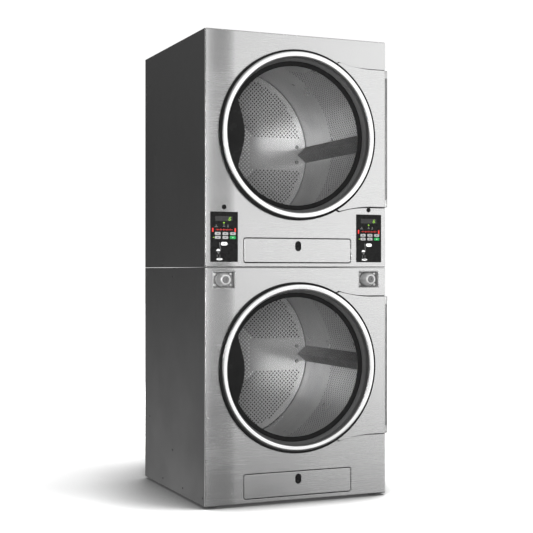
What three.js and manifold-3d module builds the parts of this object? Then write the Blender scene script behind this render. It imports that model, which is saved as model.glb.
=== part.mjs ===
// Stacked pair of commercial tumble dryers, drawn in millimetres with +Z up.
// Drawing frame: X across the front from its centre line, Y into the machine from the front face,
// Z up from the bottom edge of the cabinet. The finished group is shifted at the end so that its
// origin is the middle of the footprint, on the floor.

import * as THREE from 'three';
import { mergeVertices } from 'three/addons/utils/BufferGeometryUtils.js';
import Module from 'manifold-3d';

const wasm = await Module();
wasm.setup();

// ---------------------------------------------------------------- driving dimensions

const CABINET = { width: 876, depth: 861, unit: 1028.5, skin: 8, wall: 6, seam: 1.6 };
const GAP = 0.3; // clearance between pieces that touch

const UNITS = [
  { name: 'lower', base: 0 },
  { name: 'upper', base: CABINET.unit },
];
const SIDES = [
  { name: 'left', sign: -1 },
  { name: 'right', sign: 1 },
];

const AXIS_HEIGHT = 585.5; // drum and door centre above the bottom of its unit

const DOOR = {
  opening: 352, // radius of the hole in the front panel
  plate: 377, // radius of the door's front plate
  plateFront: -9,
  plateBack: -2.5,
  mouth: 343.3, // tunnel radius at the front
  throat: 331, // tunnel radius where it reaches the glass
  throatStart: 24,
  glassBack: 35.3,
  flange: 312, // inner radius of the flange behind the glass
  flangeBack: 38.5,
  wall: 4,
  ringOuter: 369,
  ringFront: -21,
  glass: 329.5,
  glassThickness: 4.1,
};

const WING = { right: 428, halfHeight: 311.5, shoulder: 333.6, shoulderX: 199, rootX: 185 };

const PULL = { outer: 332.5, halfAngle: 30.5, bulge: -253, front: 4, back: 12 };

const HINGE = {
  x: 435.5,
  y: -8,
  barrel: 6.5,
  halfHeight: 276,
  knuckleHalfHeight: 311,
  knuckleGap: 1,
  pin: 3,
  pinHole: 3.6,
  pinLength: 25,
  leafBack: 25,
};

const DRUM = {
  inner: 419,
  outer: 423,
  front: 55,
  back: 817,
  backThickness: 6,
  lip: 372,
  lipThickness: 4,
  hub: 60,
  hubEnd: 846,
  shaft: 25,
  shaftEnd: 1048,
};

const BAFFLE = { count: 3, root: 414.5, crest: 367, halfWidth: 42, crestRadius: 9, front: 62 };

const BEARING = { flange: 120, flangeThickness: 12, tube: 48, end: 985 };

const DRIVE = {
  plane: 1016, // middle of the belt between idler and drum
  motorPlane: 1164, // middle of the belt between motor and idler
  halfBelt: 12,
  drumPulley: 215,
  idlerLarge: 120,
  idlerSmall: 32,
  motorPulley: 25,
  groove: 8,
  idlerX: 260,
  idlerHeight: 350,
  stud: 12,
};

const BLOWER = {
  x: -110,
  height: 170,
  scroll: 135,
  depth: 100,
  sheet: 4,
  inlet: 88,
  outletX: 180,
  outletHeight: 120,
  outletHalf: 105,
  collar: 101.6,
  collarEnd: 1060,
  shaftHole: 16,
};

const MOTOR = { body: 75, flange: 58, start: 975, end: 1140, shaft: 12, bore: 12.5 };

const IMPELLER = { radius: 112, front: 885, plateFront: 940, plateBack: 944, blades: 8, blade: 3 };

const LINT = {
  halfWidth: 258.5,
  bottom: 22,
  top: 126.3,
  corner: 8,
  gap: 3.5,
  tray: 245,
  trayBottom: 30,
  trayTop: 112,
  trayBack: 640,
  sheet: 3,
  recessHalfWidth: 14.5,
  recessHeight: 44,
  recessBelowTop: 10.6,
  recessDepth: 5,
};

const COIN = {
  x: 351.5,
  height: 975,
  width: 102,
  tall: 74,
  vaultFront: 1,
  vaultBack: 170,
  sheet: 3,
  plateFront: 18,
  plateBack: 24,
  boxBack: 160,
  coneBase: 32.5,
  coneTip: 22,
  coneFront: -22,
  lock: 15,
  lockHole: 15.5,
};

const CONTROL = {
  x: 351.5,
  height: 131.6,
  width: 127,
  tall: 216.3,
  face: -2.5,
  moduleInset: 5,
  moduleBack: 45,
  openingInset: 3,
};

const START = { dx: 39.7, dz: -3, width: 26, tall: 12.5, front: -4, back: 6, pocket: 12, gap: 0.6 };

const FOOT = { x: 390, front: 48, back: 812, pad: 22, stem: 10, padHeight: 6, floor: -10 };

const DECK = { bottom: 2, top: 10 };

const SEGMENTS = { door: 32, drum: 32, pulley: 16, small: 12, tiny: 8 };

// ---------------------------------------------------------------- materials

const finish = (color, roughness, metalness) => ({ color, roughness, metalness });
const FINISHES = {
  stainless: finish(0xc6c7c8, 0.35, 0.9),
  darkPaint: finish(0x232323, 0.45, 0.2),
  galvanised: finish(0x9a9d9f, 0.5, 0.8),
  chrome: finish(0xe8e8ea, 0.15, 1.0),
  drumSteel: finish(0x9b9b9c, 0.3, 0.9),
  castIron: finish(0x4a4c4f, 0.6, 0.6),
  blackPlastic: finish(0x1c1c1c, 0.5, 0.0),
  glass: finish(0x30343a, 0.05, 0.0),
  green: finish(0x0aa84a, 0.4, 0.0),
};

// ---------------------------------------------------------------- closed solids

/** Signed volume of an indexed geometry: positive when its faces point out. */
function volumeOf(geometry) {
  const p = geometry.attributes.position;
  const index = geometry.index.array;
  const [a, b, c] = [new THREE.Vector3(), new THREE.Vector3(), new THREE.Vector3()];
  let sum = 0;
  for (let i = 0; i < index.length; i += 3) {
    a.fromBufferAttribute(p, index[i]);
    b.fromBufferAttribute(p, index[i + 1]);
    c.fromBufferAttribute(p, index[i + 2]);
    sum += a.dot(b.cross(c)) / 6;
  }
  return sum;
}

/** Welds a geometry into one closed surface with no collapsed triangles and its faces out. */
function solid(geometry) {
  geometry.deleteAttribute('normal');
  geometry.deleteAttribute('uv');
  const welded = mergeVertices(geometry, 1e-3);
  const index = welded.index.array;
  const kept = [];
  for (let i = 0; i < index.length; i += 3) {
    const [a, b, c] = [index[i], index[i + 1], index[i + 2]];
    if (a !== b && b !== c && c !== a) kept.push(a, b, c);
  }
  welded.setIndex(kept);
  if (volumeOf(welded) < 0) {
    for (let i = 0; i < kept.length; i += 3) [kept[i + 1], kept[i + 2]] = [kept[i + 2], kept[i + 1]];
    welded.setIndex(kept);
  }
  return welded;
}

function toManifold(geometry) {
  return new wasm.Manifold(new wasm.Mesh({
    numProp: 3,
    vertProperties: new Float32Array(geometry.attributes.position.array),
    triVerts: new Uint32Array(geometry.index.array),
  }));
}

function fromManifold(manifold) {
  const mesh = manifold.getMesh();
  const geometry = new THREE.BufferGeometry();
  geometry.setAttribute('position', new THREE.Float32BufferAttribute(mesh.vertProperties, 3));
  geometry.setIndex(Array.from(mesh.triVerts));
  return geometry;
}

/** Joins solids that overlap into one. */
function join(...solids) {
  return fromManifold(solids.map(toManifold).reduce((whole, next) => whole.add(next)));
}

/** Takes the tools away from the first solid. */
function cut(base, ...tools) {
  return fromManifold(tools.map(toManifold).reduce((rest, tool) => rest.subtract(tool), toManifold(base)));
}

// ---------------------------------------------------------------- basic shapes

function block(x0, x1, y0, y1, z0, z1) {
  const geometry = new THREE.BoxGeometry(x1 - x0, y1 - y0, z1 - z0);
  return solid(geometry.translate((x0 + x1) / 2, (y0 + y1) / 2, (z0 + z1) / 2));
}

/** Round bar along Y. */
function rodY(radius, y0, y1, x, z, segments) {
  const geometry = new THREE.CylinderGeometry(radius, radius, y1 - y0, segments);
  return solid(geometry.translate(x, (y0 + y1) / 2, z));
}

/** Round bar along Z. */
function rodZ(radius, z0, z1, x, y, segments) {
  const geometry = new THREE.CylinderGeometry(radius, radius, z1 - z0, segments);
  return solid(geometry.rotateX(Math.PI / 2).translate(x, y, (z0 + z1) / 2));
}

/** Solid turned about an axis along Y, from a closed profile of [radius, y] pairs. */
function turned(profile, x, z, segments) {
  const points = [...profile, profile[0]].map(([radius, y]) => new THREE.Vector2(radius, y));
  return solid(new THREE.LatheGeometry(points, segments).translate(x, 0, z));
}

/** Flat plate parallel to the front, from a shape drawn in X and Z. */
function plate(shape, y0, y1, x, z, curveSegments) {
  const options = { depth: y1 - y0, bevelEnabled: false, curveSegments };
  const geometry = new THREE.ExtrudeGeometry(shape, options);
  return solid(geometry.rotateX(Math.PI / 2).translate(x, y1, z));
}

/** Rectangle with round corners, centred on the origin. */
function roundedRectangle(width, height, radius, Kind = THREE.Shape) {
  const [w, h] = [width / 2 - radius, height / 2 - radius];
  const shape = new Kind();
  shape.absarc(w, h, radius, 0, Math.PI / 2, false);
  shape.absarc(-w, h, radius, Math.PI / 2, Math.PI, false);
  shape.absarc(-w, -h, radius, Math.PI, 1.5 * Math.PI, false);
  shape.absarc(w, -h, radius, 1.5 * Math.PI, 2 * Math.PI, false);
  shape.closePath();
  return shape;
}

// ---------------------------------------------------------------- the assembly

const dryer = new THREE.Group();

/** Adds one named piece with its own material. */
function piece(name, geometry, kind) {
  const mesh = new THREE.Mesh(geometry, new THREE.MeshStandardMaterial(FINISHES[kind]));
  mesh.name = name;
  dryer.add(mesh);
}

const HALF = CABINET.width / 2;
const INSIDE = HALF - CABINET.wall - GAP; // half width between the side panels
const BACK = CABINET.depth;

/** Bottom and top of the sheets of one unit, with the seam left between the two units. */
function unitSpan(unit) {
  const half = CABINET.seam / 2;
  const bottom = unit.base + (unit.name === 'upper' ? half : 0);
  const top = unit.base + CABINET.unit - (unit.name === 'lower' ? half : 0);
  return [bottom, top];
}

function frontPanel(unit) {
  const [bottom, top] = unitSpan(unit);
  const sheet = block(-HALF, HALF, 0, CABINET.skin, bottom, top);
  const through = [-1, CABINET.skin + 1];
  const doorHole = rodY(DOOR.opening, ...through, 0, unit.base + AXIS_HEIGHT, SEGMENTS.door);
  const lintHole = plate(
    roundedRectangle(
      2 * (LINT.halfWidth + LINT.gap), LINT.top - LINT.bottom + 2 * LINT.gap, LINT.corner + LINT.gap,
    ),
    ...through, 0, unit.base + (LINT.bottom + LINT.top) / 2, 4,
  );
  const pockets = SIDES.map(({ sign }) => {
    if (unit.name === 'lower') {
      const [w, h] = [COIN.width / 2, COIN.tall / 2];
      const [x, z] = [sign * COIN.x, COIN.height];
      return block(x - w, x + w, ...through, z - h, z + h);
    }
    const [w, h] = [CONTROL.width / 2 - CONTROL.openingInset, CONTROL.tall / 2 - CONTROL.openingInset];
    const [x, z] = [sign * CONTROL.x, unit.base + CONTROL.height];
    return block(x - w, x + w, ...through, z - h, z + h);
  });
  return cut(sheet, doorHole, lintHole, ...pockets);
}

function rearPanel(unit) {
  const [bottom, top] = unitSpan(unit);
  const front = BACK - CABINET.skin;
  const sheet = block(-INSIDE, INSIDE, front, BACK, bottom + 1, top - 1);
  const shaftHole = rodY(DRUM.shaft + 15, front - 1, BACK + 1, 0, unit.base + AXIS_HEIGHT, SEGMENTS.small);
  const airHole = rodY(
    BLOWER.inlet, front - 1, BACK + 1, BLOWER.x, unit.base + BLOWER.height, SEGMENTS.pulley,
  );
  const [x, z] = [DRIVE.idlerX, unit.base + DRIVE.idlerHeight];
  const studEnd = DRIVE.motorPlane + DRIVE.halfBelt + 6;
  const stud = rodY(DRIVE.stud, BACK - 2, studEnd, x, z, SEGMENTS.small);
  const studFlange = rodY(40, BACK - 2, BACK + 8, x, z, SEGMENTS.small);
  return join(cut(sheet, shaftHole, airHole), studFlange, stud);
}

function buildCabinet() {
  for (const unit of UNITS) {
    const [bottom, top] = unitSpan(unit);
    piece(`${unit.name}_front_panel`, frontPanel(unit), 'stainless');
    for (const { name, sign } of SIDES) {
      const [x0, x1] = [sign * HALF, sign * (HALF - CABINET.wall)].sort((a, b) => a - b);
      const side = block(x0, x1, CABINET.skin + GAP, BACK, bottom, top);
      piece(`${unit.name}_${name}_side`, side, 'darkPaint');
    }
    piece(`${unit.name}_rear_panel`, rearPanel(unit), 'galvanised');
  }
  const deck = (bottom, top) => block(
    -INSIDE, INSIDE, CABINET.skin + GAP, BACK - CABINET.skin - GAP, bottom, top,
  );
  const stackTop = 2 * CABINET.unit;
  piece('base_pan', deck(DECK.bottom, DECK.top), 'galvanised');
  piece('middle_deck', deck(CABINET.unit + DECK.bottom, CABINET.unit + DECK.top), 'galvanised');
  piece('top_panel', deck(stackTop - DECK.top, stackTop - DECK.bottom), 'galvanised');
}

function buildFeet() {
  const head = DECK.bottom - GAP;
  const padTop = FOOT.floor + FOOT.padHeight;
  for (const { name, sign } of SIDES) {
    for (const [end, y] of [['front', FOOT.front], ['rear', FOOT.back]]) {
      const x = sign * FOOT.x;
      const pad = rodZ(FOOT.pad, FOOT.floor, padTop, x, y, SEGMENTS.small);
      const stem = rodZ(FOOT.stem, padTop - 1, head, x, y, SEGMENTS.tiny);
      piece(`${end}_${name}_foot`, join(pad, stem), 'castIron');
    }
  }
}

// ---------------------------------------------------------------- doors

/** Outline of the door's front plate: a disc that widens into the hinge wing on the right. */
function doorPlateShape() {
  const rootAngle = Math.acos(WING.rootX / DOOR.plate);
  const rootZ = DOOR.plate * Math.sin(rootAngle);
  const shape = new THREE.Shape();
  shape.absarc(0, 0, DOOR.plate, rootAngle, 2 * Math.PI - rootAngle, false);
  const edge = [
    [WING.shoulderX, WING.shoulder], [232, 326], [267, 319], [308, 312.8], [359, WING.halfHeight],
    [WING.right, WING.halfHeight],
  ];
  for (const [x, z] of edge) shape.lineTo(x, -z);
  for (const [x, z] of [...edge].reverse()) shape.lineTo(x, z);
  shape.lineTo(WING.rootX, rootZ);
  const hole = new THREE.Path();
  hole.absarc(0, 0, DOOR.mouth + DOOR.wall / 2, 0, 2 * Math.PI, true);
  shape.holes.push(hole);
  return shape;
}

function doorFrame(unit) {
  const z = unit.base + AXIS_HEIGHT;
  const front = plate(doorPlateShape(), DOOR.plateFront, DOOR.plateBack, 0, z, SEGMENTS.door / 2);
  const tunnel = turned([
    [DOOR.mouth, DOOR.plateFront],
    [DOOR.throat, DOOR.throatStart],
    [DOOR.throat, DOOR.glassBack],
    [DOOR.flange, DOOR.glassBack],
    [DOOR.flange, DOOR.flangeBack],
    [DOOR.throat + DOOR.wall, DOOR.flangeBack],
    [DOOR.mouth + DOOR.wall, DOOR.plateFront],
  ], 0, z, SEGMENTS.door);
  const knuckles = [-1, 1].flatMap((end) => {
    const [near, far] = [HINGE.halfHeight + HINGE.knuckleGap, HINGE.knuckleHalfHeight];
    const [z0, z1] = [z + end * near, z + end * far].sort((a, b) => a - b);
    const tab = block(WING.right - 12, HINGE.x, DOOR.plateFront, DOOR.plateBack - 1, z0, z1);
    const eye = rodZ(HINGE.barrel, z0, z1, HINGE.x, HINGE.y, SEGMENTS.small);
    return [join(tab, eye)];
  });
  const pinHole = rodZ(
    HINGE.pinHole, z - HINGE.knuckleHalfHeight - 1, z + HINGE.knuckleHalfHeight + 1,
    HINGE.x, HINGE.y, SEGMENTS.small,
  );
  return cut(join(front, tunnel, ...knuckles), pinHole);
}

function doorRing(unit) {
  const back = DOOR.plateFront - GAP;
  return turned([
    [DOOR.ringOuter, back],
    [DOOR.ringOuter, -15],
    [DOOR.ringOuter - 9, DOOR.ringFront],
    [DOOR.mouth, -17],
    [DOOR.mouth, back],
  ], 0, unit.base + AXIS_HEIGHT, SEGMENTS.door);
}

/** Crescent plate that fingers reach behind: an arc on the tunnel side, a flatter one inwards. */
function pullShape() {
  const halfAngle = THREE.MathUtils.degToRad(PULL.halfAngle);
  const endX = -PULL.outer * Math.cos(halfAngle);
  const endZ = PULL.outer * Math.sin(halfAngle);
  const rise = PULL.bulge - endX;
  const radius = (endZ ** 2 + rise ** 2) / (2 * rise);
  const inner = Math.asin(endZ / radius);
  const shape = new THREE.Shape();
  shape.absarc(0, 0, PULL.outer, Math.PI - halfAngle, Math.PI + halfAngle, false);
  shape.absarc(PULL.bulge - radius, 0, radius, -inner, inner, false);
  shape.closePath();
  return shape;
}

function hingePost(unit) {
  const z = unit.base + AXIS_HEIGHT;
  const [bottom, top] = [z - HINGE.halfHeight, z + HINGE.halfHeight];
  const barrel = rodZ(HINGE.barrel, bottom, top, HINGE.x, HINGE.y, SEGMENTS.small);
  const pin = rodZ(
    HINGE.pin, bottom - HINGE.pinLength, top + HINGE.pinLength, HINGE.x, HINGE.y, SEGMENTS.small,
  );
  const leaf = block(HALF + GAP, HALF + GAP + 2.5, HINGE.y, HINGE.leafBack, bottom, top);
  return join(barrel, pin, leaf);
}

function buildDoors() {
  for (const unit of UNITS) {
    const z = unit.base + AXIS_HEIGHT;
    const glassFront = DOOR.glassBack - GAP - DOOR.glassThickness;
    const glass = rodY(DOOR.glass, glassFront, DOOR.glassBack - GAP, 0, z, SEGMENTS.door);
    piece(`${unit.name}_door_frame`, doorFrame(unit), 'stainless');
    piece(`${unit.name}_door_ring`, doorRing(unit), 'chrome');
    piece(`${unit.name}_door_glass`, glass, 'glass');
    piece(`${unit.name}_door_pull`, plate(pullShape(), PULL.front, PULL.back, 0, z, 14), 'blackPlastic');
    piece(`${unit.name}_hinge_post`, hingePost(unit), 'darkPaint');
  }
}

// ---------------------------------------------------------------- drums

function drumShell(unit) {
  const back = DRUM.back + DRUM.backThickness;
  return turned([
    [DRUM.outer, DRUM.front],
    [DRUM.outer, back],
    [DRUM.inner, back],
    [DRUM.inner, DRUM.front + DRUM.lipThickness],
    [DRUM.lip, DRUM.front + DRUM.lipThickness],
    [DRUM.lip, DRUM.front],
  ], 0, unit.base + AXIS_HEIGHT, SEGMENTS.drum);
}

/** Back plate of the drum with its hub and shaft. */
function drumBack(unit) {
  const rim = DRUM.inner - 1.2;
  const back = DRUM.back + DRUM.backThickness;
  const z = unit.base + AXIS_HEIGHT;
  const disc = rodY(rim, DRUM.back, back, 0, z, SEGMENTS.drum);
  const hub = rodY(DRUM.hub, back - 1, DRUM.hubEnd, 0, z, SEGMENTS.pulley);
  const shaft = rodY(DRUM.shaft, DRUM.hubEnd - 1, DRUM.shaftEnd, 0, z, SEGMENTS.pulley);
  return join(disc, hub, shaft);
}

/** Lifting rib along the drum wall: triangular with a round crest. */
function baffle(unit, angle) {
  const { root, crest, halfWidth, crestRadius } = BAFFLE;
  const shape = new THREE.Shape();
  shape.moveTo(root, -halfWidth);
  shape.lineTo(root, halfWidth);
  shape.absarc(crest + crestRadius, 0, crestRadius, 0.7 * Math.PI, 1.3 * Math.PI, false);
  shape.closePath();
  const rib = plate(shape, BAFFLE.front, DRUM.back - 2 * GAP, 0, 0, 6);
  return rib.rotateY(-angle).translate(0, 0, unit.base + AXIS_HEIGHT);
}

function drumPulley(unit) {
  const { plane, halfBelt, drumPulley: rim, groove } = DRIVE;
  const bore = DRUM.shaft + 0.5;
  return turned([
    [bore, plane - 16], [45, plane - 16], [rim - 19, plane - 4],
    [rim, plane - halfBelt], [rim - groove, plane],
    [rim, plane + halfBelt], [rim - 19, plane + 4], [45, plane + 20], [bore, plane + 20],
  ], 0, unit.base + AXIS_HEIGHT, SEGMENTS.pulley);
}

function buildDrums() {
  for (const unit of UNITS) {
    piece(`${unit.name}_drum_shell`, drumShell(unit), 'drumSteel');
    piece(`${unit.name}_drum_back`, drumBack(unit), 'drumSteel');
    for (let i = 0; i < BAFFLE.count; i += 1) {
      const angle = (i * 2 * Math.PI) / BAFFLE.count;
      piece(`${unit.name}_baffle_${i + 1}`, baffle(unit, angle), 'drumSteel');
    }
    piece(`${unit.name}_drum_pulley`, drumPulley(unit), 'castIron');
  }
}

// ---------------------------------------------------------------- drive and blower

function bearingHousing(unit) {
  const bore = DRUM.shaft + 0.5;
  const start = BACK + GAP;
  return turned([
    [bore, start],
    [BEARING.flange, start],
    [BEARING.flange, start + BEARING.flangeThickness],
    [BEARING.tube + 14, start + BEARING.flangeThickness + 6],
    [BEARING.tube, BEARING.end - 30],
    [BEARING.tube, BEARING.end],
    [bore, BEARING.end],
  ], 0, unit.base + AXIS_HEIGHT, SEGMENTS.pulley);
}

function idlerPulley(unit) {
  const { plane, motorPlane, halfBelt, idlerSmall: small, idlerLarge: large, groove } = DRIVE;
  const bore = DRIVE.stud + 0.5;
  return turned([
    [bore, plane - halfBelt], [small, plane - halfBelt], [small - groove, plane],
    [small, plane + halfBelt], [20, plane + 16], [20, motorPlane - 8],
    [large - 16, motorPlane - 5], [large, motorPlane - halfBelt],
    [large - groove, motorPlane], [large, motorPlane + halfBelt],
    [large - 16, motorPlane + 5], [20, motorPlane + halfBelt], [bore, motorPlane + halfBelt],
  ], DRIVE.idlerX, unit.base + DRIVE.idlerHeight, SEGMENTS.pulley);
}

/** Scroll housing with its outlet box and the round duct collar facing the rear. */
function blowerHousing(unit) {
  const [x, z] = [BLOWER.x, unit.base + BLOWER.height];
  const [outX, outZ] = [BLOWER.outletX, unit.base + BLOWER.outletHeight];
  const [front, back] = [BACK + GAP, BACK + GAP + BLOWER.depth];
  const body = (inset, y0, y1) => join(
    rodY(BLOWER.scroll - inset, y0, y1, x, z, SEGMENTS.pulley + 8),
    block(
      x, outX + BLOWER.outletHalf - inset, y0, y1,
      outZ - BLOWER.outletHalf + inset, outZ + BLOWER.outletHalf - inset,
    ),
  );
  const { sheet, collar } = BLOWER;
  const shell = join(
    body(0, front, back),
    rodY(collar, back - sheet, BLOWER.collarEnd, outX, outZ, SEGMENTS.pulley),
  );
  return cut(
    shell,
    body(sheet, front + sheet, back - sheet),
    rodY(BLOWER.inlet, front - 1, front + sheet + 1, x, z, SEGMENTS.pulley),
    rodY(BLOWER.shaftHole, back - sheet - 1, back + 1, x, z, SEGMENTS.small),
    rodY(collar - sheet, back - sheet - 1, BLOWER.collarEnd + 1, outX, outZ, SEGMENTS.pulley),
  );
}

function motorBody(unit) {
  const start = BACK + BLOWER.depth + 2 * GAP;
  return turned([
    [MOTOR.bore, start],
    [MOTOR.flange, start],
    [MOTOR.flange, MOTOR.start],
    [MOTOR.body, MOTOR.start + 4],
    [MOTOR.body, MOTOR.end - 10],
    [MOTOR.flange, MOTOR.end],
    [MOTOR.bore, MOTOR.end],
  ], BLOWER.x, unit.base + BLOWER.height, SEGMENTS.pulley);
}

/** Motor shaft with the fan wheel on its front end and the belt pulley on its rear end. */
function motorShaft(unit) {
  const [x, z] = [BLOWER.x, unit.base + BLOWER.height];
  const { plateFront, plateBack, radius, front, blade, blades } = IMPELLER;
  const { motorPlane, halfBelt, motorPulley: rim } = DRIVE;
  const shaft = rodY(MOTOR.shaft - 0.2, front + 10, motorPlane + halfBelt + 4, x, z, SEGMENTS.small);
  const hub = rodY(24, plateFront - 25, plateBack, x, z, SEGMENTS.small);
  const disc = rodY(radius, plateFront, plateBack, x, z, SEGMENTS.pulley);
  const vanes = Array.from({ length: blades }, (_, i) => {
    const vane = block(20, radius - 2, front, plateFront + 1, -blade / 2, blade / 2);
    return vane.rotateY((i * 2 * Math.PI) / blades).translate(x, 0, z);
  });
  const pulley = turned([
    [MOTOR.shaft - 2, motorPlane - halfBelt], [rim, motorPlane - halfBelt],
    [rim - 7, motorPlane], [rim, motorPlane + halfBelt], [MOTOR.shaft - 2, motorPlane + halfBelt],
  ], x, z, SEGMENTS.small);
  return join(shaft, hub, disc, pulley, ...vanes);
}

function buildDrive() {
  for (const unit of UNITS) {
    piece(`${unit.name}_bearing_housing`, bearingHousing(unit), 'castIron');
    piece(`${unit.name}_idler_pulley`, idlerPulley(unit), 'castIron');
    piece(`${unit.name}_blower_housing`, blowerHousing(unit), 'galvanised');
    piece(`${unit.name}_motor`, motorBody(unit), 'darkPaint');
    piece(`${unit.name}_motor_shaft`, motorShaft(unit), 'galvanised');
  }
}

// ---------------------------------------------------------------- lint drawers

function lintDrawer(unit) {
  const middle = unit.base + (LINT.bottom + LINT.top) / 2;
  const outline = roundedRectangle(2 * LINT.halfWidth, LINT.top - LINT.bottom, LINT.corner);
  const face = plate(outline, 0, CABINET.skin, 0, middle, 4);
  const recessMiddle = unit.base + LINT.top - LINT.recessBelowTop - LINT.recessHeight / 2;
  const pill = roundedRectangle(2 * LINT.recessHalfWidth, LINT.recessHeight, LINT.recessHalfWidth - 0.5);
  const recess = plate(pill, -1, LINT.recessDepth, 0, recessMiddle, 6);
  const [bottom, top] = [unit.base + LINT.trayBottom, unit.base + LINT.trayTop];
  const tray = cut(
    block(-LINT.tray, LINT.tray, CABINET.skin - 1, LINT.trayBack, bottom, top),
    block(
      -LINT.tray + LINT.sheet, LINT.tray - LINT.sheet, CABINET.skin + 2, LINT.trayBack - LINT.sheet,
      bottom + LINT.sheet, top + 1,
    ),
  );
  return join(cut(face, recess), tray);
}

// ---------------------------------------------------------------- coin vaults

function coinVault(x) {
  const [w, h] = [COIN.width / 2 - GAP, COIN.tall / 2 - GAP];
  const { sheet, height: z } = COIN;
  return cut(
    block(x - w, x + w, COIN.vaultFront, COIN.vaultBack, z - h, z + h),
    block(x - w + sheet, x + w - sheet, COIN.vaultFront - 1, COIN.vaultBack - sheet,
      z - h + sheet, z + h - sheet),
  );
}

function coinBox(x) {
  const inset = GAP + COIN.sheet + 0.4;
  const [w, h] = [COIN.width / 2 - inset, COIN.tall / 2 - inset];
  const { sheet, height: z } = COIN;
  const box = cut(
    block(x - w, x + w, COIN.plateFront, COIN.boxBack, z - h, z + h),
    block(x - w + sheet, x + w - sheet, COIN.plateBack, COIN.boxBack - sheet, z - h + sheet, z + h + 1),
  );
  const housing = turned([
    [COIN.lockHole, COIN.coneFront],
    [COIN.coneTip, COIN.coneFront],
    [COIN.coneTip + 3, COIN.coneFront + 3],
    [COIN.coneBase - 1.5, COIN.plateFront - 10],
    [COIN.coneBase, COIN.plateFront - 6],
    [COIN.coneBase, COIN.plateFront + 2],
    [COIN.lockHole, COIN.plateFront + 2],
  ], x, z, SEGMENTS.pulley);
  const bore = rodY(COIN.lockHole, COIN.coneFront - 1, COIN.plateBack + 1, x, z, SEGMENTS.pulley);
  return cut(join(box, housing), bore);
}

/** Lock cylinder with its key slot at the front and its cam behind the plate. */
function coinLock(x) {
  const { height: z, lock, coneFront, plateBack } = COIN;
  const barrel = rodY(lock, coneFront - 2, plateBack + 1, x, z, SEGMENTS.small);
  const keySlot = block(x - 1.6, x + 1.6, coneFront - 3, coneFront + 4, z - 6, z + 6);
  const cam = block(x - 6, x + 6, plateBack + 0.6, plateBack + 4, z - 6, z + 24);
  return join(cut(barrel, keySlot), cam);
}

// ---------------------------------------------------------------- control panels

const controlZ = CABINET.unit + CONTROL.height;

function controlPanel(x) {
  const { width, tall, face, moduleInset, moduleBack } = CONTROL;
  const [w, h] = [width / 2 - moduleInset, tall / 2 - moduleInset];
  const cover = plate(roundedRectangle(width, tall, 3), face, -GAP, x, controlZ, 3);
  const module = block(x - w, x + w, -2, moduleBack, controlZ - h, controlZ + h);
  const pocket = plate(
    roundedRectangle(START.width + 2 * START.gap, START.tall + 2 * START.gap, 4),
    face - 1, START.pocket, x + START.dx, controlZ + START.dz, 4,
  );
  return cut(join(cover, module), pocket);
}

function startButton(x) {
  const cap = roundedRectangle(START.width, START.tall, 3.5);
  return plate(cap, START.front, START.back, x + START.dx, controlZ + START.dz, 4);
}

function buildFrontFittings() {
  for (const unit of UNITS) piece(`${unit.name}_lint_drawer`, lintDrawer(unit), 'stainless');
  for (const { name, sign } of SIDES) {
    piece(`${name}_coin_vault`, coinVault(sign * COIN.x), 'galvanised');
    piece(`${name}_coin_box`, coinBox(sign * COIN.x), 'chrome');
    piece(`${name}_coin_lock`, coinLock(sign * COIN.x), 'chrome');
    piece(`${name}_control_panel`, controlPanel(sign * CONTROL.x), 'blackPlastic');
    piece(`${name}_start_button`, startButton(sign * CONTROL.x), 'green');
  }
}

// ---------------------------------------------------------------- build

buildCabinet();
buildFeet();
buildDoors();
buildDrums();
buildDrive();
buildFrontFittings();

// The origin is the middle of the footprint, on the floor.
const footprint = new THREE.Box3().setFromObject(dryer);
const middle = footprint.getCenter(new THREE.Vector3());
dryer.position.set(-middle.x, -middle.y, -footprint.min.z);

export default dryer;
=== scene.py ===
import math

import bmesh
import bpy
import numpy as np
from bpy.props import FloatProperty, FloatVectorProperty, IntProperty, PointerProperty
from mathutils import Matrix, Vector
from mathutils.geometry import delaunay_2d_cdt


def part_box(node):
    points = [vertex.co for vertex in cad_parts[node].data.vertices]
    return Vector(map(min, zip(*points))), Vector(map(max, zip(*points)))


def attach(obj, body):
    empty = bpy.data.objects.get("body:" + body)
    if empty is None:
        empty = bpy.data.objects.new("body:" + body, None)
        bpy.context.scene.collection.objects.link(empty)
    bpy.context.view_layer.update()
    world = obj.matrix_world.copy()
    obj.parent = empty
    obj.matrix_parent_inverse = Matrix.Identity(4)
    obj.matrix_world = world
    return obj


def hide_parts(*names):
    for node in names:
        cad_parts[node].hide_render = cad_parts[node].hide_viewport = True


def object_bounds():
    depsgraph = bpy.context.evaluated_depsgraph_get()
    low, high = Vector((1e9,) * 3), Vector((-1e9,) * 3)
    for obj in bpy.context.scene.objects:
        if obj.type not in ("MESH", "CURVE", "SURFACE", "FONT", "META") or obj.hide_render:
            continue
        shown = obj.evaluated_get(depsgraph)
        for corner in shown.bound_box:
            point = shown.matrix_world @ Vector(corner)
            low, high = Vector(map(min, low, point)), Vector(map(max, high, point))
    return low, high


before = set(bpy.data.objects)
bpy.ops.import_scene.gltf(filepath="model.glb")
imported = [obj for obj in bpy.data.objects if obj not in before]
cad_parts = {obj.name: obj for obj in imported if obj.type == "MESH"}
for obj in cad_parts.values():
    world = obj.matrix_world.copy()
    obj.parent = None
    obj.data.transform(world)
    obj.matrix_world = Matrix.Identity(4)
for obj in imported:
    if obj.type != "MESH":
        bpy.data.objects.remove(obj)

bl_info = {
    "name": "Stacked tumble dryer",
    "version": (1, 0, 0),
    "blender": (4, 5, 0),
    "location": "View3D > Sidebar > Dryer",
    "description": "Builds the finished surfaces of a stacked pair of tumble dryers",
    "category": "Object",
}

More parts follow.
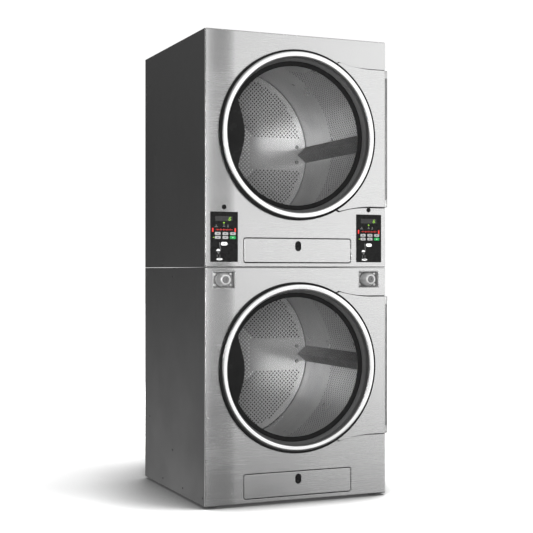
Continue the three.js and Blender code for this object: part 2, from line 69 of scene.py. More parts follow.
CAD_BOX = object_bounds()
UNITS = ("lower", "upper")
SIDES = {"left": -1, "right": 1}
MM = 0.001
TURN = 2 * math.pi
DRUM_RADIUS, DRUM_OUTSIDE = 419.0, 423.0
BAFFLES = 3
BELT_PLANE, MOTOR_PLANE, BELT_HALF = 1016.0, 1164.0, 12.0
IDLER_SMALL, IDLER_LARGE, MOTOR_SHEAVE = 32, 120, 25
BLOWER_INLET, SCROLL_RADIUS = 88, 135.0
DUCT_X, DUCT_HEIGHT, AXIS_HEIGHT = 180.0, 120.0, 585.5
HINGE_FACE = 440.8
BLACK_SPECULAR = 0.07
CROWN_EDGE, CROWN_FLAT, CROWN_HEIGHT = -0.437, -0.30, 0.0095
GRAIN_SHARE = 0.00005
STUDIO_BASE, BACKDROP = 0.06, 1.05
FRONT_REACH = 4.6


# ------------------------------------------------------------------ places taken from the frame


def box(node):
    """Lowest and highest corner of a frame node, in millimetres."""
    return np.array([tuple(corner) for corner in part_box(node)]) / MM


def unit_axis(unit):
    """Datum of a unit: the door's axis where it passes the plane of the front sheet."""
    ring_lo, ring_hi = box(f"{unit}_door_ring")
    sheet_lo, sheet_hi = box(f"{unit}_front_panel")
    return np.array([(sheet_lo[0] + sheet_hi[0]) / 2, sheet_lo[1], (ring_lo[2] + ring_hi[2]) / 2])


def middle_of(node):
    """Middle of a node's box, in millimetres."""
    lo, hi = box(node)
    return (lo + hi) / 2


# ------------------------------------------------------------------ surface kit, in millimetres


def lattice(rows, cols, wrap_rows=False, wrap_cols=False):
    """Quads of a grid of points numbered row by row; a wrapped direction joins its last line to its first."""
    r = np.arange(rows if wrap_rows else rows - 1)
    c = np.arange(cols if wrap_cols else cols - 1)
    r, c = [a.ravel() for a in np.meshgrid(r, c, indexing="ij")]
    r1, c1 = (r + 1) % rows, (c + 1) % cols
    return np.stack([r * cols + c, r * cols + c1, r1 * cols + c1, r1 * cols + c], 1).tolist()


def capped(rows, cols):
    """Quads of a tube of rows of points, closed by one face at each end."""
    last = (rows - 1) * cols
    ends = [list(range(cols)), list(range(last, last + cols))]
    return lattice(rows, cols, wrap_cols=True) + ends


def around(v):
    """Points (cos v, sin v) of the unit circle."""
    return np.stack([np.cos(v), np.sin(v)], 1)


def upright(points, y=0.0):
    """Points (x, z) of an upright plane at depth y."""
    return np.insert(points, 1, y, axis=1)


def softened(corners, reach, steps=4, closed=True):
    """Each corner becomes a quadratic curve that leaves its two edges at the reach, with one more point
    a little further out on each edge so that the flats stay flat. A reach is one number or one per corner."""
    p = np.asarray(corners, float)
    before, after = np.roll(p, 1, 0) - p, np.roll(p, -1, 0) - p
    lengths = [np.maximum(np.linalg.norm(edge, axis=1), 1e-9) for edge in (before, after)]
    reach = np.broadcast_to(np.asarray(reach, float), len(p))
    edges = list(zip((before, after), lengths))
    near = [edge * (np.minimum(reach, 0.4 * n) / n)[:, None] for edge, n in edges]
    far = [edge * (np.minimum(1.4 * reach, 0.45 * n) / n)[:, None] for edge, n in edges]
    t = np.linspace(0, 1, steps + 1)[None, :, None]
    curve = p[:, None] + (1 - t) ** 2 * near[0][:, None] + t**2 * near[1][:, None]
    curve = np.concatenate([(p + far[0])[:, None], curve, (p + far[1])[:, None]], 1)
    if not closed:
        curve[0], curve[-1] = p[0], p[-1]
    return curve.reshape(-1, p.shape[1])


def turned(profile, segments=96, closed=True, along="Y", at=(0, 0, 0)):
    """Surface of revolution: profile point (r, h) at angle v goes to r cos v, r sin v across the axis and h
    along it. A closed profile joins its last point to its first; an open one ends on the axis."""
    r, h = np.asarray(profile, float).T
    v = np.linspace(0, TURN, segments, endpoint=False)
    a, b, c = r[:, None] * np.cos(v), r[:, None] * np.sin(v), np.repeat(h[:, None], segments, 1)
    order = {"Y": (a, c, b), "Z": (a, b, c), "X": (c, a, b)}[along]
    points = np.stack(order, -1).reshape(-1, 3) + np.asarray(at, float)
    return points, lattice(len(r), segments, wrap_rows=closed, wrap_cols=True)


def circle(radius, count=128, centre=(0, 0)):
    """Points radius (cos v, sin v) about a centre, anticlockwise."""
    v = np.linspace(0, TURN, count, endpoint=False)
    return around(v) * radius + np.asarray(centre, float)


def rounded_rectangle(width, height, radius, centre=(0, 0), steps=6):
    """Rectangle whose corners are quarter circles, anticlockwise from its right side."""
    v = np.linspace(0, math.pi / 2, steps + 1)
    quarters = [v + k * math.pi / 2 for k in range(4)]
    signs = [(1, 1), (-1, 1), (-1, -1), (1, -1)]
    inset = np.array([width / 2 - radius, height / 2 - radius])
    corners = [
        np.array(sign) * inset + radius * around(q)
        for sign, q in zip(signs, quarters)
    ]
    return np.concatenate(corners) + np.asarray(centre, float)


def bezier(a, b, c, d, steps=16):
    """Cubic curve from a to d that leaves towards b and arrives from c."""
    t = np.linspace(0, 1, steps + 1)[:, None]
    a, b, c, d = (np.asarray(p, float) for p in (a, b, c, d))
    return (1 - t) ** 3 * a + 3 * t * (1 - t) ** 2 * b + 3 * t**2 * (1 - t) * c + t**3 * d


def into_material(loop, is_hole):
    """Unit normals of a closed loop at its points, pointing into the sheet."""
    edge = np.roll(loop, -1, 0) - loop
    edge = edge / np.maximum(np.linalg.norm(edge, axis=1), 1e-9)[:, None]
    tangent = edge + np.roll(edge, 1, 0)
    tangent /= np.maximum(np.linalg.norm(tangent, axis=1), 1e-9)[:, None]
    area = np.sum(loop[:, 0] * np.roll(loop[:, 1], -1) - np.roll(loop[:, 0], -1) * loop[:, 1])
    side = (1 if area > 0 else -1) * (-1 if is_hole else 1)
    return side * np.stack([-tangent[:, 1], tangent[:, 0]], 1)


def flat_fill(loops):
    """Triangles of the flat region inside the first loop and outside the others."""
    points = np.concatenate(loops)
    starts = np.cumsum([0] + [len(loop) for loop in loops])
    edges = [
        (int(s + k), int(s + (k + 1) % (e - s))) for s, e in zip(starts, starts[1:]) for k in range(e - s)
    ]
    found = delaunay_2d_cdt([Vector(p) for p in points], edges, [], 1, 1e-5)
    flat = np.array([tuple(p) for p in found[0]])
    faces = np.array(found[2])
    centres = flat[faces].mean(1)
    crossings = np.zeros(len(centres), int)
    for loop in loops:
        a, b = loop, np.roll(loop, -1, 0)
        cx, cy = centres[:, 0:1], centres[:, 1:2]
        spans = (a[:, 1] > cy) != (b[:, 1] > cy)
        rise = np.where(np.abs(b[:, 1] - a[:, 1]) < 1e-12, 1e-12, b[:, 1] - a[:, 1])
        crossings += (spans & (cx < a[:, 0] + (cy - a[:, 1]) * (b[:, 0] - a[:, 0]) / rise)).sum(1)
    return flat, faces[crossings % 2 == 1].tolist()


def facing(points, direction, face):
    """Stands a sheet up: its plane's two coordinates and its depth behind the face take their axes."""
    u, v, depth = points.T
    sign = 1 if direction[0] == "-" else -1
    through = face + sign * depth
    return np.stack({"Y": (u, through, v), "X": (through, u, v), "Z": (u, v, through)}[direction[1]], 1)


def sheet(loops, thickness, direction, face, rolls=1.0, steps=4):
    """Closed sheet with holes: along each loop a quarter circle of the roll's radius carries the face round
    to the edge, and the edge runs straight to the back. The first loop is the outline."""
    rolls = np.broadcast_to(np.asarray(rolls, float), len(loops))
    theta = np.linspace(0, math.pi / 2, steps + 1)
    surfaces, fronts = [], []
    for k, (loop, roll) in enumerate(zip(loops, rolls)):
        inset = np.concatenate([[1.5 * roll], roll * (1 - np.sin(theta)), [0]])
        depth = np.concatenate([[0], roll * (1 - np.cos(theta)), [thickness]])
        rows = loop[None] + inset[:, None, None] * into_material(loop, k > 0)[None]
        points = np.concatenate([rows, np.repeat(depth[:, None, None], len(loop), 1)], 2).reshape(-1, 3)
        surfaces.append((facing(points, direction, face), lattice(len(inset), len(loop), wrap_cols=True)))
        fronts.append(rows[0])
    for outline, depth in ((fronts, 0.0), (loops, thickness)):
        flat, faces = flat_fill(outline)
        flat = np.concatenate([flat, np.full((len(flat), 1), depth)], 1)
        surfaces.append((facing(flat, direction, face), faces))
    return surfaces


def copies(surface, places):
    """One surface repeated at each place."""
    points, faces = surface
    places = np.asarray(places, float).reshape(-1, 3)
    many = (points[None] + places[:, None]).reshape(-1, 3)
    step = len(points)
    return many, [[i + k * step for i in face] for k in range(len(places)) for face in faces]


def carried(path, section, across):
    """Section points (n, w) carried round a closed flat path: n goes along the path's outward normal and w
    along the direction across its plane."""
    across, section = np.asarray(across, float), np.asarray(section, float)
    tangent = np.roll(path, -1, 0) - np.roll(path, 1, 0)
    tangent /= np.linalg.norm(tangent, axis=1)[:, None]
    normal = np.cross(tangent, across)
    points = path[:, None] + section[None, :, :1] * normal[:, None] + section[None, :, 1:] * across
    return points.reshape(-1, 3), lattice(len(path), len(section), wrap_rows=True, wrap_cols=True)


def thickened(points, faces, offset):
    """Closed skin: the second wall is each point moved by its offset, and each edge that has one face gets
    a rim quad."""
    n = len(points)
    directed = np.array([(f[k], f[(k + 1) % len(f)]) for f in faces for k in range(len(f))])
    keys, reverse = directed[:, 0] * n + directed[:, 1], directed[:, 1] * n + directed[:, 0]
    rim = directed[~np.isin(keys, reverse)]
    rims = np.stack([rim[:, 1], rim[:, 0], rim[:, 0] + n, rim[:, 1] + n], 1).tolist()
    second = [[i + n for i in reversed(f)] for f in faces]
    return np.concatenate([points, points + offset]), faces + second + rims


def perforated(across, down, is_open, hole, wrap=False):
    """Flat cells of a grid of lines. An open cell has an eight-sided hole of that diameter; four quads and
    four triangles join it to the cell's corners. Returns the points in the plane and the faces."""
    columns = len(across)
    u, v = [a.ravel() for a in np.meshgrid(across, down, indexing="ij")]
    grid = np.stack([u, v], 1)
    cells_u, cells_v = is_open.shape
    i, j = [a.ravel() for a in np.meshgrid(np.arange(cells_u), np.arange(cells_v), indexing="ij")]
    i1 = (i + 1) % columns if wrap else i + 1
    rows = len(down)
    corner = np.stack([i * rows + j, i1 * rows + j, i1 * rows + j + 1, i * rows + j + 1], 1)
    open_cell = is_open.ravel()
    pitch_u, pitch_v = across[1] - across[0], down[1] - down[0]
    centre = grid[corner[:, 0]] + np.array([pitch_u, pitch_v]) / 2
    eighth = math.radians(22.5) + np.arange(8) * TURN / 8 - math.pi / 2 - TURN / 8
    ring = centre[open_cell][:, None] + hole / 2 * around(eighth)
    first = len(grid) + 8 * np.arange(int(open_cell.sum()))
    c = corner[open_cell]
    quads, tris = [], []
    for k in range(4):
        near, far = c[:, k], c[:, (k + 1) % 4]
        start, middle, end = first + 2 * k, first + 2 * k + 1, first + (2 * k + 2) % 8
        quads.append(np.stack([near, far, middle, start], 1))
        tris.append(np.stack([far, end, middle], 1))
    quads, tris = np.concatenate(quads), np.concatenate(tris)
    faces = corner[~open_cell].tolist() + quads.tolist() + tris.tolist()
    return np.concatenate([grid, ring.reshape(-1, 2)]), faces


def piece(name, surfaces, body, look, at=(0, 0, 0), stands_for=(), sharp=32):
    """Welds surfaces into one mesh in the row frame, turns its faces out, and puts it on its body."""
    points, faces, start = [], [], 0
    for p, f in surfaces if isinstance(surfaces, list) else [surfaces]:
        points.append(np.asarray(p, float))
        faces += [[i + start for i in face] for face in f]
        start += len(p)
    mesh = bpy.data.meshes.new(name)
    mesh.from_pydata(((np.concatenate(points) + np.asarray(at, float)) * MM).tolist(), [], faces)
    welded = bmesh.new()
    welded.from_mesh(mesh)
    bmesh.ops.remove_doubles(welded, verts=welded.verts, dist=2e-6)
    bmesh.ops.recalc_face_normals(welded, faces=welded.faces)
    welded.to_mesh(mesh)
    welded.free()
    mesh.polygons.foreach_set("use_smooth", np.ones(len(mesh.polygons), bool))
    mesh.set_sharp_from_angle(angle=math.radians(sharp))
    mesh.materials.append(finish(look))
    thing = bpy.data.objects.new(name, mesh)
    bpy.context.scene.collection.objects.link(thing)
    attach(thing, body)
    if stands_for:
        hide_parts(*stands_for)


def dome(radius, height, direction, steps=5, segments=16):
    """Round head: r = radius cos t and h = height sin t, closed underneath, along a signed axis."""
    t = np.linspace(0, math.pi / 2, steps)
    sign = -1 if direction[0] == "-" else 1
    profile = np.stack([radius * np.cos(t), sign * height * np.sin(t)], 1)
    profile = np.concatenate([[[0, 0]], [[radius, -0.2 * sign]], profile])
    return turned(profile, segments, closed=False, along=direction[1])


# ------------------------------------------------------------------ finishes


def tone(level):
    """Linear value of a display grey from 0 to 255."""
    s = level / 255
    return s / 12.92 if s <= 0.04045 else ((s + 0.055) / 1.055) ** 2.4


def grey(level):
    """Linear colour of a display grey."""
    return (tone(level),) * 3


def add_node(tree, kind, inputs, **settings):
    """New node with its settings, and a link or a value for each of its inputs."""
    made = tree.nodes.new("ShaderNode" + kind)
    for key, value in settings.items():
        setattr(made, key, value)
    for key, value in inputs.items():
        if isinstance(value, bpy.types.NodeSocket):
            tree.links.new(value, made.inputs[key])
        else:
            made.inputs[key].default_value = value
    return made


class Recipe:
    """Node tree of one finish, with short calls for the nodes that the finishes share."""

    def __init__(self, name, roughness=0.5, metallic=0.0, **sockets):
        self.material = bpy.data.materials.new(name)
        self.material.use_nodes = True
        self.tree = self.material.node_tree
        self.shader = self.tree.nodes["Principled BSDF"]
        self.shader.inputs["Roughness"].default_value = roughness
        self.shader.inputs["Metallic"].default_value = metallic
        for socket, value in sockets.items():
            self.shader.inputs[socket.replace("_", " ")].default_value = value
        self.coordinates = self.tree.nodes.new("ShaderNodeTexCoord").outputs["Object"]
        self.noises = {}

    def node(self, kind, inputs, **settings):
        """New node of this finish."""
        return add_node(self.tree, kind, inputs, **settings)

    def noise(self, stretch, detail):
        """Noise with that many features a metre along X, Y and Z, made once for each kind."""
        if (stretch, detail) not in self.noises:
            scaled = self.node("Mapping", {"Vector": self.coordinates, "Scale": stretch})
            sockets = {"Vector": scaled.outputs["Vector"], "Scale": 1.0, "Detail": detail, "Roughness": 0.55}
            self.noises[stretch, detail] = self.node("TexNoise", sockets).outputs["Fac"]
        return self.noises[stretch, detail]

    def spread(self, value, low, high, start=0.3, end=0.7):
        """Value from start to end becomes low to high."""
        sockets = {"Value": value, "From Min": start, "From Max": end, "To Min": low, "To Max": high}
        return self.node("MapRange", sockets).outputs["Result"]

    def blend(self, factor, first, second):
        """Colour between two colours."""
        mixed = self.node("Mix", {0: factor, 6: (*first, 1), 7: (*second, 1)}, data_type="RGBA")
        return mixed.outputs[2]

    def set(self, socket, value):
        """Links a value to the surface."""
        self.tree.links.new(value, self.shader.inputs[socket])

    def bump(self, height, strength, distance):
        """Raises the surface by the height, at most by the distance."""
        sockets = {"Height": height, "Strength": strength, "Distance": distance}
        self.set("Normal", self.node("Bump", sockets).outputs["Normal"])


def brushed_stainless():
    """Sheet stainless: grain along X, a faint cloudiness from the mill, and a sheet that falls away softly
    towards its left edge."""
    base = user_colour("stainless")
    finish = Recipe("brushed_stainless", 0.3, 0.95)
    grain = finish.noise((5, 40, 1300), 4)
    cloud = finish.noise((2.2, 2.2, 3.0), 2)
    both = finish.node("Math", {0: grain, 1: cloud}, operation="ADD").outputs[0]
    finish.set("Base Color", finish.blend(finish.spread(both, 0, 1, 0.7, 1.3), base * 0.93, base * 1.05))
    finish.set("Roughness", finish.spread(both, 0.2, 0.3, 0.7, 1.3))
    across = finish.node("SeparateXYZ", {0: finish.coordinates}).outputs["X"]
    rise = {"Value": across, "From Min": CROWN_EDGE, "From Max": CROWN_FLAT}
    crown = finish.node("MapRange", rise, interpolation_type="SMOOTHSTEP").outputs["Result"]
    relief = finish.node("Math", {0: grain, 1: GRAIN_SHARE, 2: crown}, operation="MULTIPLY_ADD").outputs[0]
    finish.bump(relief, 1.0, CROWN_HEIGHT)
    return finish.material


def worn(name, metallic, shades, tint, gloss, relief, **sockets):
    """Worn finish: the colour runs between two shades after the tint noise, the roughness between two
    values after the gloss noise, and the relief noise raises the surface. A noise is (stretch, detail)."""
    gloss_noise, low, high = gloss
    relief_noise, strength, distance = relief
    finish = Recipe(name, (low + high) / 2, metallic, **sockets)
    finish.set("Base Color", finish.blend(finish.spread(finish.noise(*tint), 0, 1), *shades))
    finish.set("Roughness", finish.spread(finish.noise(*gloss_noise), low, high))
    finish.bump(finish.noise(*relief_noise), strength, distance)
    return finish.material


def shaded(colour, low, high):
    """A darker and a lighter shade of a colour."""
    return np.array(colour) * low, np.array(colour) * high


def even(scale, detail):
    """Noise with as many features a metre along every axis."""
    return (scale, scale, scale), detail


def user_colour(key):
    """Colour that the user may change in the sidebar."""
    return np.array(getattr(bpy.context.scene.dryer_finishes, key))


def charcoal_paint():
    """Baked enamel on the side sheets: near black, fine orange peel, slightly uneven gloss."""
    cloud = even(3, 3)
    return worn(
        "charcoal_paint", 0.0, shaded(user_colour("paint"), 0.85, 1.2), cloud, (cloud, 0.32, 0.44),
        (even(420, 2), 0.12, 0.0003), Coat_Weight=0.25, Coat_Roughness=0.3,
    )


def galvanised_sheet():
    """Zinc coated steel with its crystal spangle and a dull bloom."""
    base = user_colour("zinc")
    finish = Recipe("galvanised_sheet", 0.45, 0.85)
    scaled = finish.node("Mapping", {"Vector": finish.coordinates, "Scale": (70, 70, 70)})
    spangle = finish.node("TexVoronoi", {"Vector": scaled.outputs["Vector"], "Scale": 1.0})
    crystal = finish.node("SeparateColor", {"Color": spangle.outputs["Color"]}).outputs["Red"]
    cloud = finish.noise((5, 5, 5), 3)
    both = finish.node("Math", {0: crystal, 1: cloud}, operation="ADD").outputs[0]
    finish.set("Base Color", finish.blend(finish.spread(both, 0, 1, 0.4, 1.6), base * 0.82, base * 1.12))
    finish.set("Roughness", finish.spread(crystal, 0.34, 0.55, 0, 1))
    finish.bump(cloud, 0.1, 0.0005)
    return finish.material


def satin_chrome():
    """Bright trim: polished, with very fine turning marks and faint smears."""
    smear, marks = even(14, 3), ((40, 900, 40), 2)
    return worn(
        "satin_chrome", 1.0, shaded(user_colour("trim"), 0.95, 1.0), smear, (smear, 0.1, 0.2),
        (marks, 0.05, 0.0001),
    )


def spun_aluminium():
    """Door tunnel: satin grey metal with turning marks along the axis. Its grey, darker than the front
    stainless, is painted shade in the door's tunnel and collar and on the drum's ribs; on the hinge leaf,
    coin plate and lock barrel it is their darker grey metal.
    """
    marks = (8, 1500, 8), 3
    return worn(
        "spun_aluminium", 0.85, shaded(user_colour("tunnel"), 0.85, 1.15), marks, (even(9, 2), 0.34, 0.48),
        (marks, 0.1, 0.0002),
    )


def drum_steel():
    """Drum sheet: bright rolled stainless, polished by the load, with faint streaks round the drum."""
    base = user_colour("drum")
    finish = Recipe("drum_steel", 0.25, 0.78)
    streak = finish.noise((6, 260, 6), 3)
    wear = finish.noise((7, 7, 7), 4)
    both = finish.node("Math", {0: streak, 1: wear}, operation="ADD").outputs[0]
    finish.set("Base Color", finish.blend(finish.spread(both, 0, 1, 0.7, 1.3), base * 0.88, base * 1.08))
    finish.set("Roughness", finish.spread(wear, 0.27, 0.31))
    finish.bump(wear, 0.06, 0.0006)
    return finish.material


def mirror_steel():
    """Drum back: bright annealed stainless, nearly a mirror, with a slight waviness."""
    wear = even(30, 4)
    return worn(
        "mirror_steel", 0.6, shaded(user_colour("drum"), 0.95, 1.0), wear, (wear, 0.15, 0.19),
        (even(5, 2), 0.15, 0.002),
    )


def painted_iron():
    """Cast iron under thin paint: sand texture and rubbed high spots."""
    rub = even(25, 4)
    return worn(
        "painted_iron", 0.55, shaded(user_colour("iron"), 0.8, 1.4), rub, (rub, 0.48, 0.66),
        (even(380, 3), 0.3, 0.0006),
    )


def fan_aluminium():
    """Cast and machined aluminium of the fan and shafts."""
    grain = (200, 900, 200), 3
    return worn(
        "fan_aluminium", 0.9, (grey(165), grey(198)), even(18, 3), (grain, 0.28, 0.45), (grain, 0.08, 0.0002),
    )


def moulded_black(name="moulded_black", level=28, low=0.36, high=0.5):
    """Injection moulded plastic with a fine even grain."""
    cloud = even(20, 3)
    return worn(
        name, 0.0, (grey(level * 0.85), grey(level * 1.15)), cloud, (cloud, low, high),
        (even(900, 2), 0.15, 0.0002), Specular_IOR_Level=BLACK_SPECULAR,
    )


def black_rubber():
    """Extruded seal rubber: matt, dusty on its high spots."""
    dust = even(60, 4)
    return worn(
        "black_rubber", 0.0, (grey(7), grey(15)), dust, (dust, 0.62, 0.85), (even(700, 2), 0.2, 0.0003),
        Specular_IOR_Level=0.1,
    )


def overlay_film(name="overlay_film", level=15, low=0.22, high=0.34):
    """Printed polyester film over the controls: smooth, faintly textured."""
    smear = even(40, 3)
    return worn(
        name, 0.0, (grey(level * 0.92), grey(level * 1.08)), smear, (smear, low, high),
        (even(1400, 2), 0.08, 0.0001), Specular_IOR_Level=BLACK_SPECULAR,
    )


def tinted_key(name, colour):
    """Pad printed key: an even colour with a soft sheen."""
    cloud = even(150, 3)
    return worn(name, 0.0, shaded(colour, 0.92, 1.04), cloud, (cloud, 0.34, 0.46), (cloud, 0.05, 0.0001))


def lit_mark(name, colour, strength):
    """Lit segment or lamp: its own light over a diffuse lens with a faint mottle."""
    colour = np.array(colour)
    finish = Recipe(name, 0.4, 0.0, Emission_Strength=strength)
    mottle = finish.noise((900, 900, 900), 2)
    mixed = finish.blend(finish.spread(mottle, 0, 1), colour * 0.85, colour)
    finish.set("Base Color", mixed)
    finish.set("Emission Color", mixed)
    return finish.material


def clear_glass():
    """Door glass: almost clear, with the faintest film of dust on it."""
    finish = Recipe("clear_glass", 0.04, 0.0)
    film = finish.noise((9, 9, 9), 4)
    finish.set("Base Color", finish.blend(finish.spread(film, 0, 1), grey(30), grey(60)))
    finish.set("Alpha", finish.spread(film, 0.07, 0.11))
    finish.material.surface_render_method = "BLENDED"
    return finish.material


FINISHES = {
    "stainless": brushed_stainless,
    "paint": charcoal_paint,
    "zinc": galvanised_sheet,
    "chrome": satin_chrome,
    "tunnel": spun_aluminium,
    "drum": drum_steel,
    "mirror": mirror_steel,
    "iron": painted_iron,
    "aluminium": fan_aluminium,
    "black": moulded_black,
    "gloss_black": lambda: moulded_black("gloss_black", 14, 0.2, 0.3),
    "rubber": black_rubber,
    "film": overlay_film,
    "window": lambda: overlay_film("display_window", 36, 0.12, 0.2),
    "key_grey": lambda: tinted_key("key_grey", grey(112)),
    "key_white": lambda: tinted_key("key_white", grey(170)),
    "key_green": lambda: tinted_key("key_green", user_colour("start_key")),
    "print_grey": lambda: tinted_key("print_grey", grey(62)),
    "lit_green": lambda: lit_mark("lit_green", (0.09, 0.20, 0.008), 0.9),
    "lit_red": lambda: lit_mark("lit_red", (0.30, 0.009, 0.006), 0.8),
    "glass": clear_glass,
}


def finish(name):
    """The named finish, made once."""
    found = bpy.data.materials.get("dryer_" + name)
    if found is None:
        found = FINISHES[name]()
        found.name = "dryer_" + name
    return found


# ------------------------------------------------------------------ sizes and colours a user may change


def length(name, description, default):
    """Length that a user may change."""
    return FloatProperty(name=name, description=description, default=default, unit="LENGTH", precision=4)


def colour(name, description, default):
    """Colour that a user may change."""
    return FloatVectorProperty(
        name=name, description=description, default=default, subtype="COLOR", min=0, max=1,
    )


class DryerFinishes(bpy.types.PropertyGroup):
    """Base colours of the finishes."""

    stainless: colour("Stainless", "Brushed sheet of the fronts and doors", grey(196))
    paint: colour("Side paint", "Enamel on the side sheets", grey(20))
    zinc: colour("Zinc", "Galvanised rear and deck sheets", grey(168))
    trim: colour("Bright trim", "Door rings and coin locks", grey(236))
    # darker than the stainless: painted shade for the door's tunnel and collar and the drum's ribs
    tunnel: colour("Door tunnel", "Spun metal between ring and glass", grey(112))
    drum: colour("Drum", "Perforated drum sheet", grey(182))
    iron: colour("Castings", "Pulleys and bearing housings", grey(62))
    start_key: colour("Start key", "The key that starts a cycle", (0.0, 0.15, 0.03))


class DryerSizes(bpy.types.PropertyGroup):
    """Sizes of the finished surfaces that the frame doesn't settle."""

    sheet_roll: length("Front roll", "Radius of the rolled edges of the front sheets", 0.0035)
    ring_crown: length("Ring crown", "How far the door ring stands off the door plate", 0.0118)
    seal_width: length("Seal width", "Width of the black seal round the door ring", 0.009)
    gasket_width: length("Gasket width", "Width of the gasket that holds the glass", 0.021)
    hole_diameter: length("Hole diameter", "Diameter of a hole in the drum", 0.0088)
    hole_pitch: length("Hole pitch", "Half the distance between holes along a row", 0.0103)
    drum_sheet: length("Drum sheet", "Thickness of the drum sheet", 0.0008)
    screw_head: length("Screw head", "Radius of a cabinet screw's head", 0.0042)
    key_height: length("Key height", "How far the keys stand off the control panel", 0.0009)
    wall_cells: IntProperty(name="Drum cells", description="Cells round the drum's wall, even", default=256)


class DryerStage(bpy.types.PropertyGroup):
    """Camera and light."""

    azimuth: FloatProperty(
        name="Azimuth", description="Camera's turn to the left of the fronts", default=math.radians(23.07),
        subtype="ANGLE",
    )
    tilt: FloatProperty(
        name="Tilt", description="How far the camera looks up", default=math.radians(0.194), subtype="ANGLE",
    )
    distance: length("Distance", "Camera to the middle of the fronts, seen from above", 5.2951)
    slide: length("Slide", "Camera's shift to its left", 0.1405)
    height: length("Height", "Camera's height over the floor", 1.0245)
    lens: FloatProperty(name="Lens", description="Focal length", default=80.8, unit="CAMERA")
    key_light: FloatProperty(name="Key light", description="Softbox overhead", default=520, unit="POWER")
    front_light: FloatProperty(
        name="Front light", description="Softbox beside the camera", default=200, unit="POWER",
    )


# ------------------------------------------------------------------ cabinet


def screw_heads(name, places, direction, body, look="zinc", radius=None, height=2.2):
    """Round screw heads, each a dome that stands on the sheet."""
    radius = radius or bpy.context.scene.dryer_sizes.screw_head / MM
    heads = copies(dome(radius, height, direction), places)
    piece(name, heads, body, look)


def build_front_sheet(unit):
    """Front sheet with its door hole, lint opening and pockets; its edges are rolled back."""
    axis = unit_axis(unit)
    lo, hi = box(f"{unit}_front_panel")
    width, height = hi[0] - lo[0], hi[2] - lo[2]
    roll = bpy.context.scene.dryer_sizes.sheet_roll / MM
    flat = (lo + hi) / 2 - axis
    outline = rounded_rectangle(width, height, 1.6 * roll, (flat[0], flat[2]))
    lint_lo, lint_hi = box(f"{unit}_lint_drawer")
    lint = (lint_lo + lint_hi) / 2 - axis
    loops = [
        outline,
        circle(352, 160),
        rounded_rectangle(lint_hi[0] - lint_lo[0] + 7, lint_hi[2] - lint_lo[2] + 7, 11.5, (lint[0], lint[2])),
    ]
    for side in SIDES:
        node = f"{side}_coin_vault" if unit == "lower" else f"{side}_control_panel"
        pocket_lo, pocket_hi = box(node)
        spare = 0.6 if unit == "lower" else -6
        centre = (pocket_lo + pocket_hi) / 2 - axis
        size = pocket_hi - pocket_lo + spare
        loops.append(rounded_rectangle(size[0], size[2], 2.4, (centre[0], centre[2])))
    rolls = [roll, 2.2, 1.0, 1.2, 1.2]
    piece(
        f"{unit}_front_sheet", sheet(loops, hi[1] - lo[1], "-Y", 0.0, rolls), "cabinet",
        "stainless", at=axis, stands_for=[f"{unit}_front_panel"],
    )


def build_side_sheet(unit, side):
    """Plain painted side sheet with softly broken edges."""
    lo, hi = box(f"{unit}_{side}_side")
    size, centre = hi - lo, (lo + hi) / 2
    outline = rounded_rectangle(size[1], size[2], 3.0, (centre[1], centre[2]))
    direction, face = ("-X", lo[0]) if side == "left" else ("+X", hi[0])
    piece(
        f"{unit}_{side}_skin", sheet([outline], size[0], direction, face, 1.8), "cabinet",
        "paint", stands_for=[f"{unit}_{side}_side"],
    )


def build_rear_sheet(unit):
    """Rear sheet with its shaft and air holes, and two rows of pressed louvres."""
    axis = unit_axis(unit)
    lo, hi = box(f"{unit}_rear_panel")
    sheet_back = box(f"{unit}_left_side")[1][1]
    centre = (lo + hi) / 2
    blower = middle_of(f"{unit}_motor")
    loops = [
        rounded_rectangle(hi[0] - lo[0], hi[2] - lo[2], 3.0, (centre[0], centre[2])),
        circle(40, 48, (axis[0], axis[2])),
        circle(BLOWER_INLET, 64, (blower[0], blower[2])),
    ]
    plate = sheet(loops, sheet_back - lo[1], "+Y", sheet_back, [1.2, 1.0, 1.0])
    piece(
        f"{unit}_rear_sheet", plate, "cabinet", "zinc",
        stands_for=[f"{unit}_rear_panel"],
    )
    # painted shade: a black sheet just inside the rear sheet keeps the cabinet dark behind the drum's holes
    shade_lining = sheet(loops, 6, "-Y", lo[1] - 6.5, 0.6)
    piece(f"{unit}_rear_shade_lining", shade_lining, "cabinet", "rubber")
    stud = middle_of(f"{unit}_idler_pulley")
    profile = softened([(0, -4), (40, -4), (40, 8), (12, 8), (12, 323), (0, 323)], 1.2, closed=False)
    piece(
        f"{unit}_idler_stud", turned(profile, 48, closed=False), "cabinet", "aluminium",
        at=(stud[0], sheet_back, stud[2]),
    )
    build_louvres(unit, axis, sheet_back)
    reach_x, reach_z = (hi[0] - lo[0]) / 2 - 14, 0.46 * (hi[2] - lo[2])
    rim = [
        (centre[0] + sign * reach_x, sheet_back, centre[2] + z)
        for sign in (-1, 1) for z in np.linspace(-reach_z, reach_z, 7)
    ]
    screw_heads(f"{unit}_rear_screws", rim, "+Y", "cabinet")


def build_louvres(unit, axis, sheet_back):
    """Pressed louvres: a half oval of 7 by 5 carried over 104, its size swelling as the square root of
    one less the eighth power of the way along, closed flat underneath."""
    t, along = np.linspace(0, math.pi, 9), np.linspace(-1, 1, 17)
    rows, cols = len(along), len(t)
    hood = np.stack([7 * np.cos(t), 5 * np.sin(t)], 1)
    swell = np.sqrt(np.maximum(1 - along**8, 0))[:, None]
    points = np.stack(np.broadcast_arrays(
        52 * along[:, None], 0.2 + hood[None, :, 1] * swell, hood[None, :, 0] * swell,
    ), -1).reshape(-1, 3)
    starts = [k * cols for k in range(rows - 1)]
    under = [[a, a + cols - 1, a + 2 * cols - 1, a + cols] for a in starts]
    faces = lattice(rows, cols) + under
    places = [
        (axis[0] + sign * 330, sheet_back, axis[2] + 60 + row * 34) for sign in (-1, 1) for row in range(7)
    ]
    piece(
        f"{unit}_rear_louvres", copies((points, faces), places), "cabinet", "zinc", sharp=50,
    )


